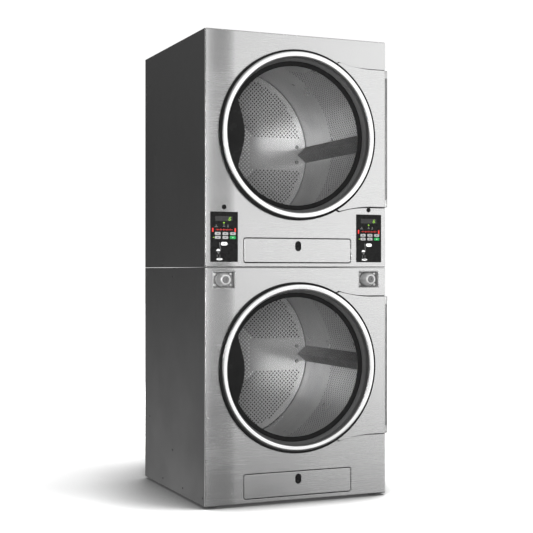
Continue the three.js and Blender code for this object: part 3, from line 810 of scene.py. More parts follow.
def build_deck(node, name, direction):
    """Flat sheet of the base, the middle or the top, with turned-down edges."""
    lo, hi = box(node)
    size, centre = hi - lo, (lo + hi) / 2
    outline = rounded_rectangle(size[0], size[1], 3.0, (centre[0], centre[1]))
    face = hi[2] if direction == "+Z" else lo[2]
    piece(
        name, sheet([outline], size[2], direction, face, 1.5), "cabinet", "zinc",
        stands_for=[node],
    )


def build_foot(node):
    """Levelling foot: a domed pad, a lock nut and a threaded stem."""
    lo, hi = box(node)
    radius, tall = (hi[0] - lo[0]) / 2, hi[2] - lo[2]
    pad = softened([(0, 0), (radius, 0), (radius, 3.5), (13, 6), (11, 6.2), (0, 6.2)], 0.8, closed=False)
    threads = np.arange(0, tall - 6.4, 0.5)
    crest = 9.2 + 0.5 * np.cos(threads / 1.5 * TURN)
    stem = np.concatenate([[[0, 6]], np.stack([crest, 6 + threads], 1), [[0, tall]]])
    centre = (lo + hi) / 2
    surfaces = [
        turned(pad, 48, closed=False, along="Z"),
        turned(stem, 32, closed=False, along="Z"),
    ]
    piece(
        f"{node}_cast", surfaces, "cabinet", "iron", at=(centre[0], centre[1], lo[2]),
        stands_for=[node],
    )


def build_door_collar(unit):
    """Rolled collar round the door hole that carries on into the cabinet as far as the drum's lip."""
    axis = unit_axis(unit)
    profile = softened([
        (349.6, -1.2), (356, -1.2), (356, 0.4), (352.4, 2.4), (352.4, 14), (367, 50), (367, 53.5),
        (363.6, 53.5), (349.6, 15),
    ], 1.2, 3)
    piece(
        f"{unit}_door_collar", turned(profile, 160), "cabinet", "tunnel", at=axis,
    )


def build_cabinet():
    """All fixed sheets, the feet and the cabinet's screws."""
    for unit in UNITS:
        build_front_sheet(unit)
        build_rear_sheet(unit)
        build_door_collar(unit)
        for side in SIDES:
            build_side_sheet(unit, side)
    build_deck("base_pan", "base_sheet", "-Z")
    build_deck("middle_deck", "middle_sheet", "+Z")
    build_deck("top_panel", "top_sheet", "+Z")
    for end in ("front", "rear"):
        for side in SIDES:
            build_foot(f"{end}_{side}_foot")
    build_cabinet_screws()


def build_cabinet_screws():
    """Screws along the side sheets, down the front's left rim and round the top sheet."""
    lo, hi = box("lower_left_side")
    depth, unit_height = hi[1] - lo[1], box("upper_left_side")[0][2] - lo[2]
    rows = np.array([
        (0.03, 0.0325), (0.337, 0.0325), (0.67, 0.0325), (0.506, 0.181), (0.91, 0.295), (0.506, 0.958),
        (0.04, 1.009), (0.345, 1.01), (0.676, 1.011), (0.91, 1.862),
    ])
    y, z = lo[1] + rows[:, 0] * depth, lo[2] + rows[:, 1] * unit_height
    for side, sign in SIDES.items():
        node_lo, node_hi = box(f"lower_{side}_side")
        face = node_lo[0] if sign < 0 else node_hi[0]
        places = np.stack([np.full(len(y), face), y, z], 1)
        screw_heads(
            f"{side}_side_screws", places, "-X" if sign < 0 else "+X", "cabinet", "paint",
        )
    axis = unit_axis("lower")
    fronts = [
        (axis[0] - 424, axis[1], axis[2] + base + z)
        for base in (0, unit_height) for z in (-204.9, 212.5)
    ]
    screw_heads("front_rim_screws", fronts, "-Y", "cabinet", radius=4.6)
    top_lo, top_hi = box("top_panel")
    x = np.linspace(top_lo[0] + 18, top_hi[0] - 18, 5)
    tops = [(a, b, top_hi[2]) for b in (top_lo[1] + 16, top_hi[1] - 16) for a in x]
    screw_heads("top_screws", tops, "+Z", "cabinet", height=1.6)


# ------------------------------------------------------------------ doors


def door_outline(grow=0.0):
    """The door plate's edge: an arc of the radius, and on the hinge side two edges that leave the arc at a
    shoulder and ease into level lines up to the hinge; these may be grown outwards by a margin."""
    radius, right, half_height = 377.0 + min(grow, 1.0), 428.0 + grow, 311.5 + grow
    shoulder = np.array([199.0, 333.6 + grow])
    root = math.acos(185.0 / radius)
    v = np.linspace(root, TURN - root, 180)
    arc = radius * around(v)
    upper = bezier(shoulder, (252, 321.5), (300, half_height), (359, half_height), 20)
    corner_angle = np.linspace(math.pi / 2, 0, 6)
    corner = np.array([right - 5, half_height - 5]) + 5 * around(corner_angle)
    edge = np.concatenate([upper, corner])
    lower = edge * np.array([1, -1])
    return np.concatenate([arc, lower, edge[::-1]])


def build_door(unit):
    """Door plate with a black strip behind its edge as a painted shadow line, dished tunnel, bright ring,
    outer seal, glass and gasket.
    """
    axis = unit_axis(unit)
    body = f"{unit}_door"
    sizes = bpy.context.scene.dryer_sizes
    frame_lo = box(f"{unit}_door_frame")[0] - axis
    ring_lo, ring_hi = box(f"{unit}_door_ring")
    ring_outer = (ring_hi[0] - ring_lo[0]) / 2
    glass_lo, glass_hi = box(f"{unit}_door_glass")
    plate_front = frame_lo[1]
    piece(
        f"{unit}_door_plate",
        sheet([door_outline(), circle(345.3, 160)], 6.5, "-Y", plate_front, [1.6, 0.6]),
        body, "stainless", at=axis, stands_for=[f"{unit}_door_frame"],
    )
    # painted shadow: a black strip between door plate and front sheet, a little wider than the plate, rings
    # it dark
    shadow_strip = sheet([door_outline(4.5), circle(360, 160)], 2.2, "-Y", -2.4, [0.3, 0.3])
    piece(f"{unit}_door_shadow_strip", shadow_strip, body, "rubber", at=axis)
    throat, mouth = 331.0, 343.3
    tunnel = softened([
        (mouth, plate_front - 6), (mouth - 1.2, 6), (throat + 1.5, 22), (throat, 25), (throat, 35.3),
        (312, 35.3), (312, 38.5), (335, 38.5), (335.2, 27), (mouth + 3, 8), (mouth + 3.5, plate_front - 6),
    ], 2.2, 4)
    piece(
        f"{unit}_door_tunnel", turned(tunnel, 160), body, "tunnel", at=axis,
    )
    crown = ring_hi[1] - axis[1] - sizes.ring_crown / MM
    back = ring_hi[1] - axis[1]
    ring = softened([
        (ring_outer, back), (ring_outer, crown + 3.2), (ring_outer - 2.2, crown + 0.4),
        (ring_outer - 8, crown), (mouth + 3.4, crown + 0.5), (mouth + 0.2, crown + 3.2), (mouth, back),
    ], [0.4, 2, 2, 3, 2, 2, 0.4], 6)
    piece(
        f"{unit}_ring_trim", turned(ring, 192), body, "chrome", at=axis,
        stands_for=[f"{unit}_door_ring"], sharp=50,
    )
    seal_outer = ring_outer + sizes.seal_width / MM
    seal = softened([
        (ring_outer - 1, back + 0.2), (ring_outer + 0.3, plate_front - 3.2),
        (seal_outer - 1.2, plate_front - 2.4), (seal_outer, plate_front + 4),
        (seal_outer - 0.8, plate_front + 4.2), (ring_outer - 1, plate_front + 1),
    ], 0.8, 3)
    piece(f"{unit}_door_seal", turned(seal, 192), body, "rubber", at=axis)
    glass_front, glass_back = glass_lo[1] - axis[1], glass_hi[1] - axis[1]
    pane_edge = throat - 1.5
    pane = softened([
        (0, glass_front), (pane_edge, glass_front), (pane_edge, glass_back), (0, glass_back),
    ], 1, 3, closed=False)
    piece(
        f"{unit}_glass_pane", turned(pane, 128, closed=False), body, "glass", at=axis,
        stands_for=[f"{unit}_door_glass"],
    )
    inner = throat - sizes.gasket_width / MM
    gasket = softened([
        (throat - 0.4, glass_front - 6.5), (throat - 5, glass_front - 7), (inner + 3, glass_front - 3.4),
        (inner, glass_front - 0.6), (inner + 0.4, glass_front - 0.1), (throat - 0.4, glass_front - 0.1),
    ], 1.4, 4)
    piece(f"{unit}_glass_gasket", turned(gasket, 160), body, "rubber", at=axis)
    build_pull(unit, axis, body)
    build_hinge(unit, axis, body)


def build_pull(unit, axis, body):
    """Crescent pull: its outer edge follows the tunnel, its inner edge swells inwards as a raised cosine."""
    lo, hi = box(f"{unit}_door_pull") - axis
    half = (hi[2] - lo[2]) / 2
    outer = -lo[0]
    v = np.linspace(math.pi - math.asin(half / outer), math.pi + math.asin(half / outer), 41)
    arc = outer * around(v)
    z = np.linspace(-half, half, 41)
    ends = arc[0, 0]
    bulge = hi[0] - ends
    swell = ends + bulge * (0.5 + 0.5 * np.cos(math.pi * z / half)) ** 0.8
    inner = np.stack([swell, z], 1)[1:-1]
    outline = np.concatenate([arc, inner])
    thickness = hi[1] - lo[1]
    face = sheet([outline], thickness, "-Y", lo[1], 2.2, 5)
    piece(
        f"{unit}_pull_crescent", face, body, "gloss_black", at=axis,
        stands_for=[f"{unit}_door_pull"],
    )


def build_hinge(unit, axis, body):
    """Door knuckles above and below the post, and the post's barrel, leaf and screws."""
    lo, hi = box(f"{unit}_hinge_post") - axis
    x, y, barrel = hi[0] - 6.5, lo[1] + 6.5, 6.4
    half = (hi[2] - lo[2]) / 2 - 25
    knuckles = []
    for end in (-1, 1):
        near, far = end * (half + 1), end * (half + 35)
        cap = softened([(0, near), (barrel, near), (barrel, far), (0, far)], 1.5, closed=False)
        knuckles.append(turned(cap, 32, closed=False, along="Z", at=(x, y, 0)))
        tab = rounded_rectangle(x - 416, 34, 1.5, ((x + 416) / 2, (near + far) / 2))
        knuckles += sheet([tab], 4.2, "-Y", y - 1.6, 0.8)
    piece(f"{unit}_door_knuckles", knuckles, body, "zinc", at=axis)
    post = softened([(0, -half), (barrel, -half), (barrel, half), (0, half)], 1.0, closed=False)
    pin = softened([(0, -half - 24), (3, -half - 24), (3, half + 24), (0, half + 24)], 0.6, closed=False)
    leaf = rounded_rectangle(hi[1] - lo[1] - 8, 2 * half, 2.0, ((lo[1] + 8 + hi[1]) / 2, 0))
    surfaces = [
        turned(post, 32, closed=False, along="Z", at=(x, y, 0)),
        turned(pin, 16, closed=False, along="Z", at=(x, y, 0)),
        *sheet([leaf], 2.5, "+X", HINGE_FACE, 0.8),
    ]
    piece(
        f"{unit}_hinge_leaf", surfaces, "cabinet", "tunnel", at=axis,
        stands_for=[f"{unit}_hinge_post"],
    )
    spots = axis + np.array([(HINGE_FACE, 14, z) for z in (-212, 212)])
    screw_heads(f"{unit}_hinge_screws", spots, "+X", "cabinet", radius=5.0, height=1.2)


# ------------------------------------------------------------------ drums


def polar(points_uv, radius):
    """Cells laid round a cylinder: u is the angle and v the depth, on the wall's radius."""
    angle, y = points_uv[:, 0], points_uv[:, 1]
    return np.stack([radius * np.cos(angle), y, radius * np.sin(angle)], 1)


def build_drum_wall(unit, axis, body):
    """Perforated wall in three bands: cells in a chequer, every second one with a hole."""
    sizes = bpy.context.scene.dryer_sizes
    radius, thick = DRUM_RADIUS, sizes.drum_sheet / MM
    hole = sizes.hole_diameter / MM
    count = sizes.wall_cells // 2 * 2
    pitch = TURN * radius / count
    rows_a_band, bands, start = 15, 3, 62.0
    across = np.arange(count) * pitch
    for band in range(bands):
        first = start + band * rows_a_band * pitch
        down = first + np.arange(rows_a_band + 1) * pitch
        i, j = np.meshgrid(np.arange(count), np.arange(rows_a_band) + band * rows_a_band, indexing="ij")
        flat, faces = perforated(across, down, (i + j) % 2 == 0, hole, wrap=True)
        flat[:, 0] /= radius
        points = polar(flat, radius)
        outward = points * np.array([1, 0, 1]) / radius
        skin = thickened(points, faces, outward * thick)
        piece(
            f"{unit}_drum_wall_{band + 1}", skin, body, "drum", at=axis, sharp=30,
            stands_for=[f"{unit}_drum_shell"] if band == 0 else (),
        )
    return start, start + bands * rows_a_band * pitch


def build_drum(unit):
    """Drum of one unit: its wall between a rolled lip and a plain band, its back and its baffles."""
    axis = unit_axis(unit)
    body = f"{unit}_drum"
    sizes = bpy.context.scene.dryer_sizes
    shell_lo, shell_hi = box(f"{unit}_drum_shell")
    front, back = shell_lo[1] - axis[1], shell_hi[1] - axis[1]
    thick = sizes.drum_sheet / MM
    wall_start, wall_end = build_drum_wall(unit, axis, body)
    inside, outside, skin = DRUM_RADIUS, DRUM_OUTSIDE, DRUM_RADIUS + thick
    lip = softened([
        (inside, wall_start), (inside, front + 4), (374, front + 3), (372, front + 1.5), (372.5, front),
        (376, front), (420.5, front + 1.2), (outside, front + 4), (outside, wall_start), (skin, wall_start),
    ], [0, 3, 1.5, 1.2, 1, 1, 2, 2, 0.3, 0], 4)
    piece(f"{unit}_drum_lip", turned(lip, 192), body, "drum", at=axis)
    band = softened([
        (inside, wall_end), (inside, back), (outside, back), (outside, back - 8), (skin, back - 10),
        (skin, wall_end),
    ], [0, 0.5, 1, 1, 1, 0], 3)
    piece(f"{unit}_drum_band", turned(band, 192), body, "drum", at=axis)
    build_drum_back(unit, axis, body, back)
    for k in range(BAFFLES):
        build_baffle(unit, k, axis, body, back)


def build_drum_back(unit, axis, body, shell_back):
    """Mirror plate: square cells over the disc, points past the rim drawn in to it, every second cell open
    except near the rim and along the three plain bands that carry the baffles."""
    sizes = bpy.context.scene.dryer_sizes
    rim, y = 418.4, shell_back - 6.0
    pitch = sizes.hole_pitch / MM
    half = math.ceil(rim / pitch) + 1
    lines = (np.arange(2 * half + 1) - half) * pitch
    centre = (lines[:-1] + lines[1:]) / 2
    cu, cv = np.meshgrid(centre, centre, indexing="ij")
    i, j = np.meshgrid(np.arange(2 * half), np.arange(2 * half), indexing="ij")
    distance = np.hypot(cu, cv)
    plain = distance > 389
    for k in range(BAFFLES):
        a = k * TURN / BAFFLES
        along, off = cu * math.cos(a) + cv * math.sin(a), -cu * math.sin(a) + cv * math.cos(a)
        plain |= (np.abs(off) < 78) & (along > 108)
    plain |= distance < 62
    flat, faces = perforated(lines, lines, ((i + j) % 2 == 0) & ~plain, sizes.hole_diameter / MM)
    r = np.hypot(flat[:, 0], flat[:, 1])
    inside = r < rim
    flat = np.where(inside[:, None], flat, flat * (rim / np.maximum(r, 1e-6))[:, None])
    faces = [f for f in faces if inside[f].any()]
    skin = thickened(upright(flat, y), faces, np.array([0, 2.0, 0]))
    piece(
        f"{unit}_drum_mirror", skin, body, "mirror", at=axis, sharp=30,
        stands_for=[f"{unit}_drum_back"],
    )
    seam_inner = DRUM_RADIUS - 2.6
    seam = turned([
        (seam_inner, y - 0.5), (DRUM_RADIUS, y - 0.5), (DRUM_RADIUS, y + 0.4), (seam_inner, y + 0.4),
    ], 192)
    piece(f"{unit}_drum_seam", seam, body, "rubber", at=axis)
    hub_hi = box(f"{unit}_drum_back")[1][1] - axis[1]
    shaft = softened([
        (0, y + 1.9), (150, y + 1.9), (146, y + 5.5), (66, y + 7), (60, y + 12), (60, 845), (25, 847),
        (25, hub_hi - 2), (23, hub_hi), (0, hub_hi),
    ], 1.2, closed=False)
    piece(
        f"{unit}_drum_trunnion", turned(shaft, 72, closed=False), body, "aluminium",
        at=axis,
    )
    boss = softened([(0, y + 1), (46, y + 1), (46, y - 1.5), (40, y - 3), (0, y - 3.2)], 1, closed=False)
    piece(f"{unit}_drum_boss", turned(boss, 72, closed=False), body, "mirror", at=axis)
    build_drum_screws(unit, axis, body, y)


def build_drum_screws(unit, axis, body, y):
    """Two screws with their washers through the back and two through the wall at each baffle."""
    heads, washers = [], []
    for k in range(BAFFLES):
        c, s = math.cos(k * TURN / BAFFLES), math.sin(k * TURN / BAFFLES)
        turn = np.array([(c, 0, s), (0, 1, 0), (-s, 0, c)])
        flat = [(365.0, y, off) for off in (-39.0, 39.0)]
        wall = [(417.6, 710.0, off) for off in (-45.0, 45.0)]
        for spots, direction in ((flat, "-Y"), (wall, "-X")):
            for parts, radius, height in ((heads, 5.0, 4.0), (washers, 8.5, 1.2)):
                points, faces = copies(dome(radius, height, direction), spots)
                parts.append((points @ turn, faces))
    piece(f"{unit}_drum_screws", heads, body, "aluminium", at=axis)
    piece(f"{unit}_drum_washers", washers, body, "rubber", at=axis)


def build_baffle(unit, k, axis, body, shell_back):
    """Lifting rib: a rounded triangle carried along the drum; its crest dips towards the open end."""
    angle = k * TURN / BAFFLES
    lo = box(f"{unit}_baffle_1")[0] - axis
    front, back = lo[1], shell_back - 6.6
    crest, root = lo[0], 418.0
    half = 42.0
    section = softened([
        (root, -half), (crest + 4.5, -3.2), (crest, 0), (crest + 4.5, 3.2), (root, half),
    ], [3, 9, 4, 9, 3], 5, closed=False)
    along = np.concatenate([[0, 0.004, 0.012, 0.03, 0.06], np.linspace(0.1, 1, 10)])
    rise = np.array([0.0, 0.35, 0.62, 0.85, 0.97, *np.ones(10)])
    depth = front + along * (back - front)
    r = root + (section[None, :, 0] - root) * rise[:, None]
    w = np.broadcast_to(section[None, :, 1], r.shape)
    y = np.broadcast_to(depth[:, None], r.shape)
    c, s = math.cos(angle), math.sin(angle)
    points = np.stack([r * c - w * s, y, r * s + w * c], -1).reshape(-1, 3)
    rib = points, capped(len(depth), len(section))
    # the ribs take the darker tunnel finish instead of the drum's steel: painted shade, as the ribs lie in
    # shade
    piece(
        f"{unit}_lifter_{k + 1}", rib, body, "tunnel", at=axis,
        stands_for=[f"{unit}_baffle_{k + 1}"],
    )


# ------------------------------------------------------------------ controls


def on_panel(side, centre, name, surfaces, look):
    """Part of a control panel, drawn from the middle of its face."""
    piece(f"{side}_{name}", surfaces, "cabinet", look, at=centre)


def build_controls(side):
    """Control panel: printed film, display, lamps, keys and the coin acceptor's front."""
    lo, hi = box(f"{side}_control_panel")
    centre = (lo + hi) / 2
    centre[1] = lo[1]
    width, tall = hi[0] - lo[0], hi[2] - lo[2]
    key_lo, key_hi = box(f"{side}_start_button")
    key = (key_lo + key_hi) / 2 - centre
    key_width, key_tall = key_hi[0] - key_lo[0], key_hi[2] - key_lo[2]
    pocket = rounded_rectangle(key_width + 1.2, key_tall + 1.2, 4, (key[0], key[2]))
    cover = sheet([rounded_rectangle(width, tall, 3), pocket], 2.4, "-Y", 0, [1.0, 0.3])
    well = sheet([rounded_rectangle(key_width + 4, key_tall + 4, 4, (key[0], key[2]))], 30, "-Y", 8.5, 0.5)
    piece(
        f"{side}_control_cover", [*cover, *well], "cabinet", "film", at=centre,
        stands_for=[f"{side}_control_panel"],
    )
    window = sheet([rounded_rectangle(80, 21, 1.5, (-1.5, 78.5))], 0.6, "-Y", -0.25, 0.2)
    on_panel(side, centre, "display_window", window, "window")
    rise = bpy.context.scene.dryer_sizes.key_height / MM
    keys = ((-30.2, 14.0), (-30.2, -3.0), (5.0, 14.0), (5.0, -3.0), (39.7, 14.0))
    pads = []
    for place in keys:
        pads += sheet([rounded_rectangle(26, 12.5, 3.5, place)], rise + 0.4, "-Y", -rise, 0.6)
    on_panel(side, centre, "keys", pads, "key_grey")
    legends = []
    for place in keys:
        legends += sheet([rounded_rectangle(9, 4.5, 1.5, place)], 0.3, "-Y", -rise - 0.12, 0.1)
    on_panel(side, centre, "key_legends", legends, "print_grey")
    pill = sheet([rounded_rectangle(30, 14.7, 7.2, (-0.3, -30))], rise + 0.6, "-Y", -rise - 0.2, 1.2)
    on_panel(side, centre, "select_key", pill, "key_white")
    mark = sheet([rounded_rectangle(10, 3.4, 1.6, (-0.3, -30))], 0.3, "-Y", -rise - 0.35, 0.1)
    on_panel(side, centre, "select_mark", mark, "print_grey")
    build_display(side, centre)
    build_start_key(side, centre, key, key_width, key_tall, key_lo, key_hi)
    build_coin_graphic(side, centre)
    plug = (centre[0] - np.sign(centre[0]) * 0.5, unit_axis("upper")[1], centre[2] + 128.9)
    profile = softened([
        (0, 1), (10.6, 1), (10.6, -0.8), (9.4, -2.2), (6.2, -2.5), (5.8, -1.5), (0, -1.4),
    ], 0.6, closed=False)
    on_panel(side, plug, "lock_plug", turned(profile, 48, closed=False), "gloss_black")


def build_start_key(side, centre, key, width, tall, lo, hi):
    """Green start key: a cap with softened edges and a white mark."""
    body = f"{side}_start_key"
    face = lo[1] - centre[1]
    cap = sheet([rounded_rectangle(width, tall, 3.5, (key[0], key[2]))], hi[1] - lo[1], "-Y", face, 0.8)
    piece(
        f"{side}_start_cap", cap, body, "key_green", at=centre,
        stands_for=[f"{side}_start_button"],
    )
    arrow = np.array([(-1.8, -2.6), (2.6, 0), (-1.8, 2.6)]) + np.array([key[0], key[2]])
    piece(
        f"{side}_start_mark", sheet([arrow], 0.3, "-Y", face - 0.1, 0.05), body, "key_white",
        at=centre,
    )


def segment_bars(x, z, lit, wide=8.5, tall=12.5, stroke=2.3, slant=0.25):
    """Lit bars of a seven-segment figure: three level bars and four upright ones, leaning a little."""
    h, v = wide / 2, tall / 2
    spots = {
        "top": (0, v, 1), "middle": (0, 0, 1), "bottom": (0, -v, 1), "upper_left": (-h, v / 2, 0),
        "upper_right": (h, v / 2, 0), "lower_left": (-h, -v / 2, 0), "lower_right": (h, -v / 2, 0),
    }
    bars = []
    for name in lit:
        dx, dz, level = spots[name]
        size = (wide - stroke * 0.4, stroke) if level else (stroke, v - stroke * 0.4)
        loop = rounded_rectangle(*size, stroke * 0.42, (dx, dz), 3)
        loop = loop + np.stack([loop[:, 1] * slant, np.zeros(len(loop))], 1) + np.array([x, z])
        bars += sheet([loop], 0.3, "-Y", -0.4, 0.08, 2)
    return bars


def build_display(side, centre):
    """One lit figure, a lamp and an arrow in green, and a red strip of ticks between two red arrows."""
    six = ("top", "upper_left", "middle", "lower_left", "lower_right", "bottom")
    green = segment_bars(26, 77.5, six)
    green += sheet([rounded_rectangle(7, 5.4, 1.2, (-1.5, 60.5))], 0.6, "-Y", -0.4, 0.15)
    green += sheet([np.array([(-53.0, -3.0), (-46.5, -5.6), (-46.5, -0.4)])], 0.5, "-Y", -0.3, 0.1)
    on_panel(side, centre, "green_lamps", green, "lit_green")
    red = []
    for dx in (-53.0, 50.5):
        red += sheet([rounded_rectangle(6.4, 17.5, 3.0, (dx, 29.5))], 0.5, "-Y", -0.3, 0.15)
    for k in range(16):
        tick = 3.4 + 1.7 * ((k * 5) % 3)
        red += sheet([rounded_rectangle(1.7, tick, 0.7, (-37 + 4.9 * k, 30.5))], 0.4, "-Y", -0.2, 0.08, 2)
    on_panel(side, centre, "red_strip", red, "lit_red")
    icons = []
    for dx, dz, wide in ((-37, 46, 17), (-1.5, 48, 12), (17, 46, 10)):
        foot = np.array([(-wide / 2, -4.5), (wide / 2, -4.5), (wide / 4, -0.5), (-wide / 4, -0.5)])
        icons += sheet([foot + np.array([dx, dz])], 0.3, "-Y", -0.15, 0.06, 2)
        icons += sheet([circle(2.6, 20, (dx, dz + 3.6))], 0.3, "-Y", -0.15, 0.06, 2)
    on_panel(side, centre, "icons", icons, "print_grey")


def build_coin_graphic(side, centre):
    """Coin entry: a half round hood over a narrow throat, a guide line and the oval return cup."""
    t = np.linspace(0, math.pi, 24)
    hood = np.stack([8.6 * np.cos(t), 8.2 * np.sin(t)], 1) + np.array([-28.0, -61.0])
    light = sheet([hood], 1.2, "-Y", -0.9, 0.7)
    ellipse = circle(1.0, 48) * np.array([14, 4.4]) + np.array([-22.5, -96.5])
    slot = circle(1.0, 48) * np.array([9, 1.5]) + np.array([-22.5, -96.0])
    light += sheet([ellipse, slot], 1.2, "-Y", -0.9, [0.7, 0.2])
    on_panel(side, centre, "coin_entry", light, "key_white")
    throat = np.array([(-36.0, -62.5), (-26.0, -75.5), (-20.0, -62.5)])
    dim = sheet([throat], 0.7, "-Y", -0.45, 0.2)
    guide = bezier((-21.5, -24), (-21.5, -38), (-17, -50), (-17.5, -58), 12)
    strip = np.concatenate([guide - np.array([1.6, 0]), (guide + np.array([1.6, 0]))[::-1]])
    dim += sheet([strip], 0.4, "-Y", -0.2, 0.08, 2)
    for dx in (-32.5, -20.5):
        dim += sheet([rounded_rectangle(2.4, 13, 1, (dx, -83))], 0.4, "-Y", -0.2, 0.08, 2)
    on_panel(side, centre, "coin_guide", dim, "print_grey")


# ------------------------------------------------------------------ lint drawers


def build_lint_drawer(unit):
    """Lint drawer: a flush face with a black finger pull, and behind it a tray under a perforated screen."""
    axis = unit_axis(unit)
    body = f"{unit}_lint_tray"
    lo, hi = box(f"{unit}_lint_drawer") - axis
    middle = (lo + hi) / 2
    pull = (middle[0], hi[2] - 10.6 - 22)
    loops = [
        rounded_rectangle(hi[0] - lo[0], hi[2] - lo[2], 8, (middle[0], middle[2])),
        rounded_rectangle(29, 44, 14.4, pull, 10),
    ]
    face = sheet(loops, 8, "-Y", 0, [1.6, 0.6])
    piece(
        f"{unit}_lint_face", face, body, "stainless", at=axis,
        stands_for=[f"{unit}_lint_drawer"],
    )
    cup_rows = [
        (14.4, 22.0, -0.4), (13.4, 21.0, -1.0), (12.2, 19.8, -0.2), (11.4, 19.0, 3.0), (10.6, 18.0, 5.0),
    ]
    rows = []
    for half_w, half_h, depth in cup_rows:
        loop = rounded_rectangle(2 * half_w, 2 * half_h, half_w - 0.05, pull, 10)
        rows.append(upright(loop, depth))
    back = rows[0].copy()
    back[:, 1] = 5.6
    rows = [back, *rows]
    cup = np.concatenate(rows), capped(len(rows), len(back))
    lock = softened([
        (0, 5.2), (10.4, 5.2), (10.4, -0.6), (9.2, -1.6), (4.4, -1.8), (4.0, -0.9), (0, -0.8),
    ], 0.5, closed=False)
    disc = turned(lock, 40, closed=False, at=(pull[0], 0, pull[1] + 8.6))
    piece(f"{unit}_lint_pull", [cup, disc], body, "gloss_black", at=axis)
    ribs = []
    for k in range(3):
        loop = rounded_rectangle(15 - 1.5 * k, 2.0, 0.9, (pull[0], pull[1] - 7.5 - 4.2 * k), 3)
        ribs += sheet([loop], 4.2, "-Y", 0.6 + 0.5 * k, 0.3, 2)
    piece(f"{unit}_lint_ribs", ribs, body, "black", at=axis)
    build_lint_tray(unit, axis, body, hi[1])


def build_lint_tray(unit, axis, body, back):
    """Open tray of folded sheet under a fine perforated lint screen in a frame."""
    floor, top, half, front = -555.5, -473.5, 245.0, 7.8
    length_y = back - front
    centre = (0, (front + back) / 2)
    walls = []
    for sx in (-1, 1):
        side = rounded_rectangle(length_y, top - floor, 3, (centre[1], (top + floor) / 2))
        walls += sheet([side], 3, "-X" if sx < 0 else "+X", sx * half, 0.8)
    rear = rounded_rectangle(2 * half - 6.2, top - floor, 3, (0, (top + floor) / 2))
    walls += sheet([rear], 3, "+Y", back, 0.8)
    bottom = rounded_rectangle(2 * half - 6.2, length_y - 4, 3, centre)
    walls += sheet([bottom], 3, "-Z", floor, 0.8)
    piece(f"{unit}_lint_box", walls, body, "zinc", at=axis)
    pitch = 12.0
    columns, rows = 38, 48
    u, v = (np.arange(columns + 1) - columns / 2) * pitch, front + 26 + np.arange(rows + 1) * pitch
    i, j = np.meshgrid(np.arange(columns), np.arange(rows), indexing="ij")
    flat, faces = perforated(u, v, (i + j) % 2 == 0, 8.0)
    points = np.stack([flat[:, 0], flat[:, 1], np.full(len(flat), top - 12.0)], 1)
    screen = thickened(points, faces, np.array([0, 0, -1.0]))
    piece(f"{unit}_lint_screen", screen, body, "aluminium", at=axis, sharp=30)
    inner = rounded_rectangle(columns * pitch - 4, rows * pitch - 4, 2, (0, front + 26 + rows * pitch / 2))
    outer = rounded_rectangle(2 * half - 7, length_y - 8, 3, centre)
    rim = sheet([outer, inner], 4, "+Z", top - 9.6, 0.8)
    piece(f"{unit}_lint_frame", rim, body, "zinc", at=axis)


# ------------------------------------------------------------------ coin boxes


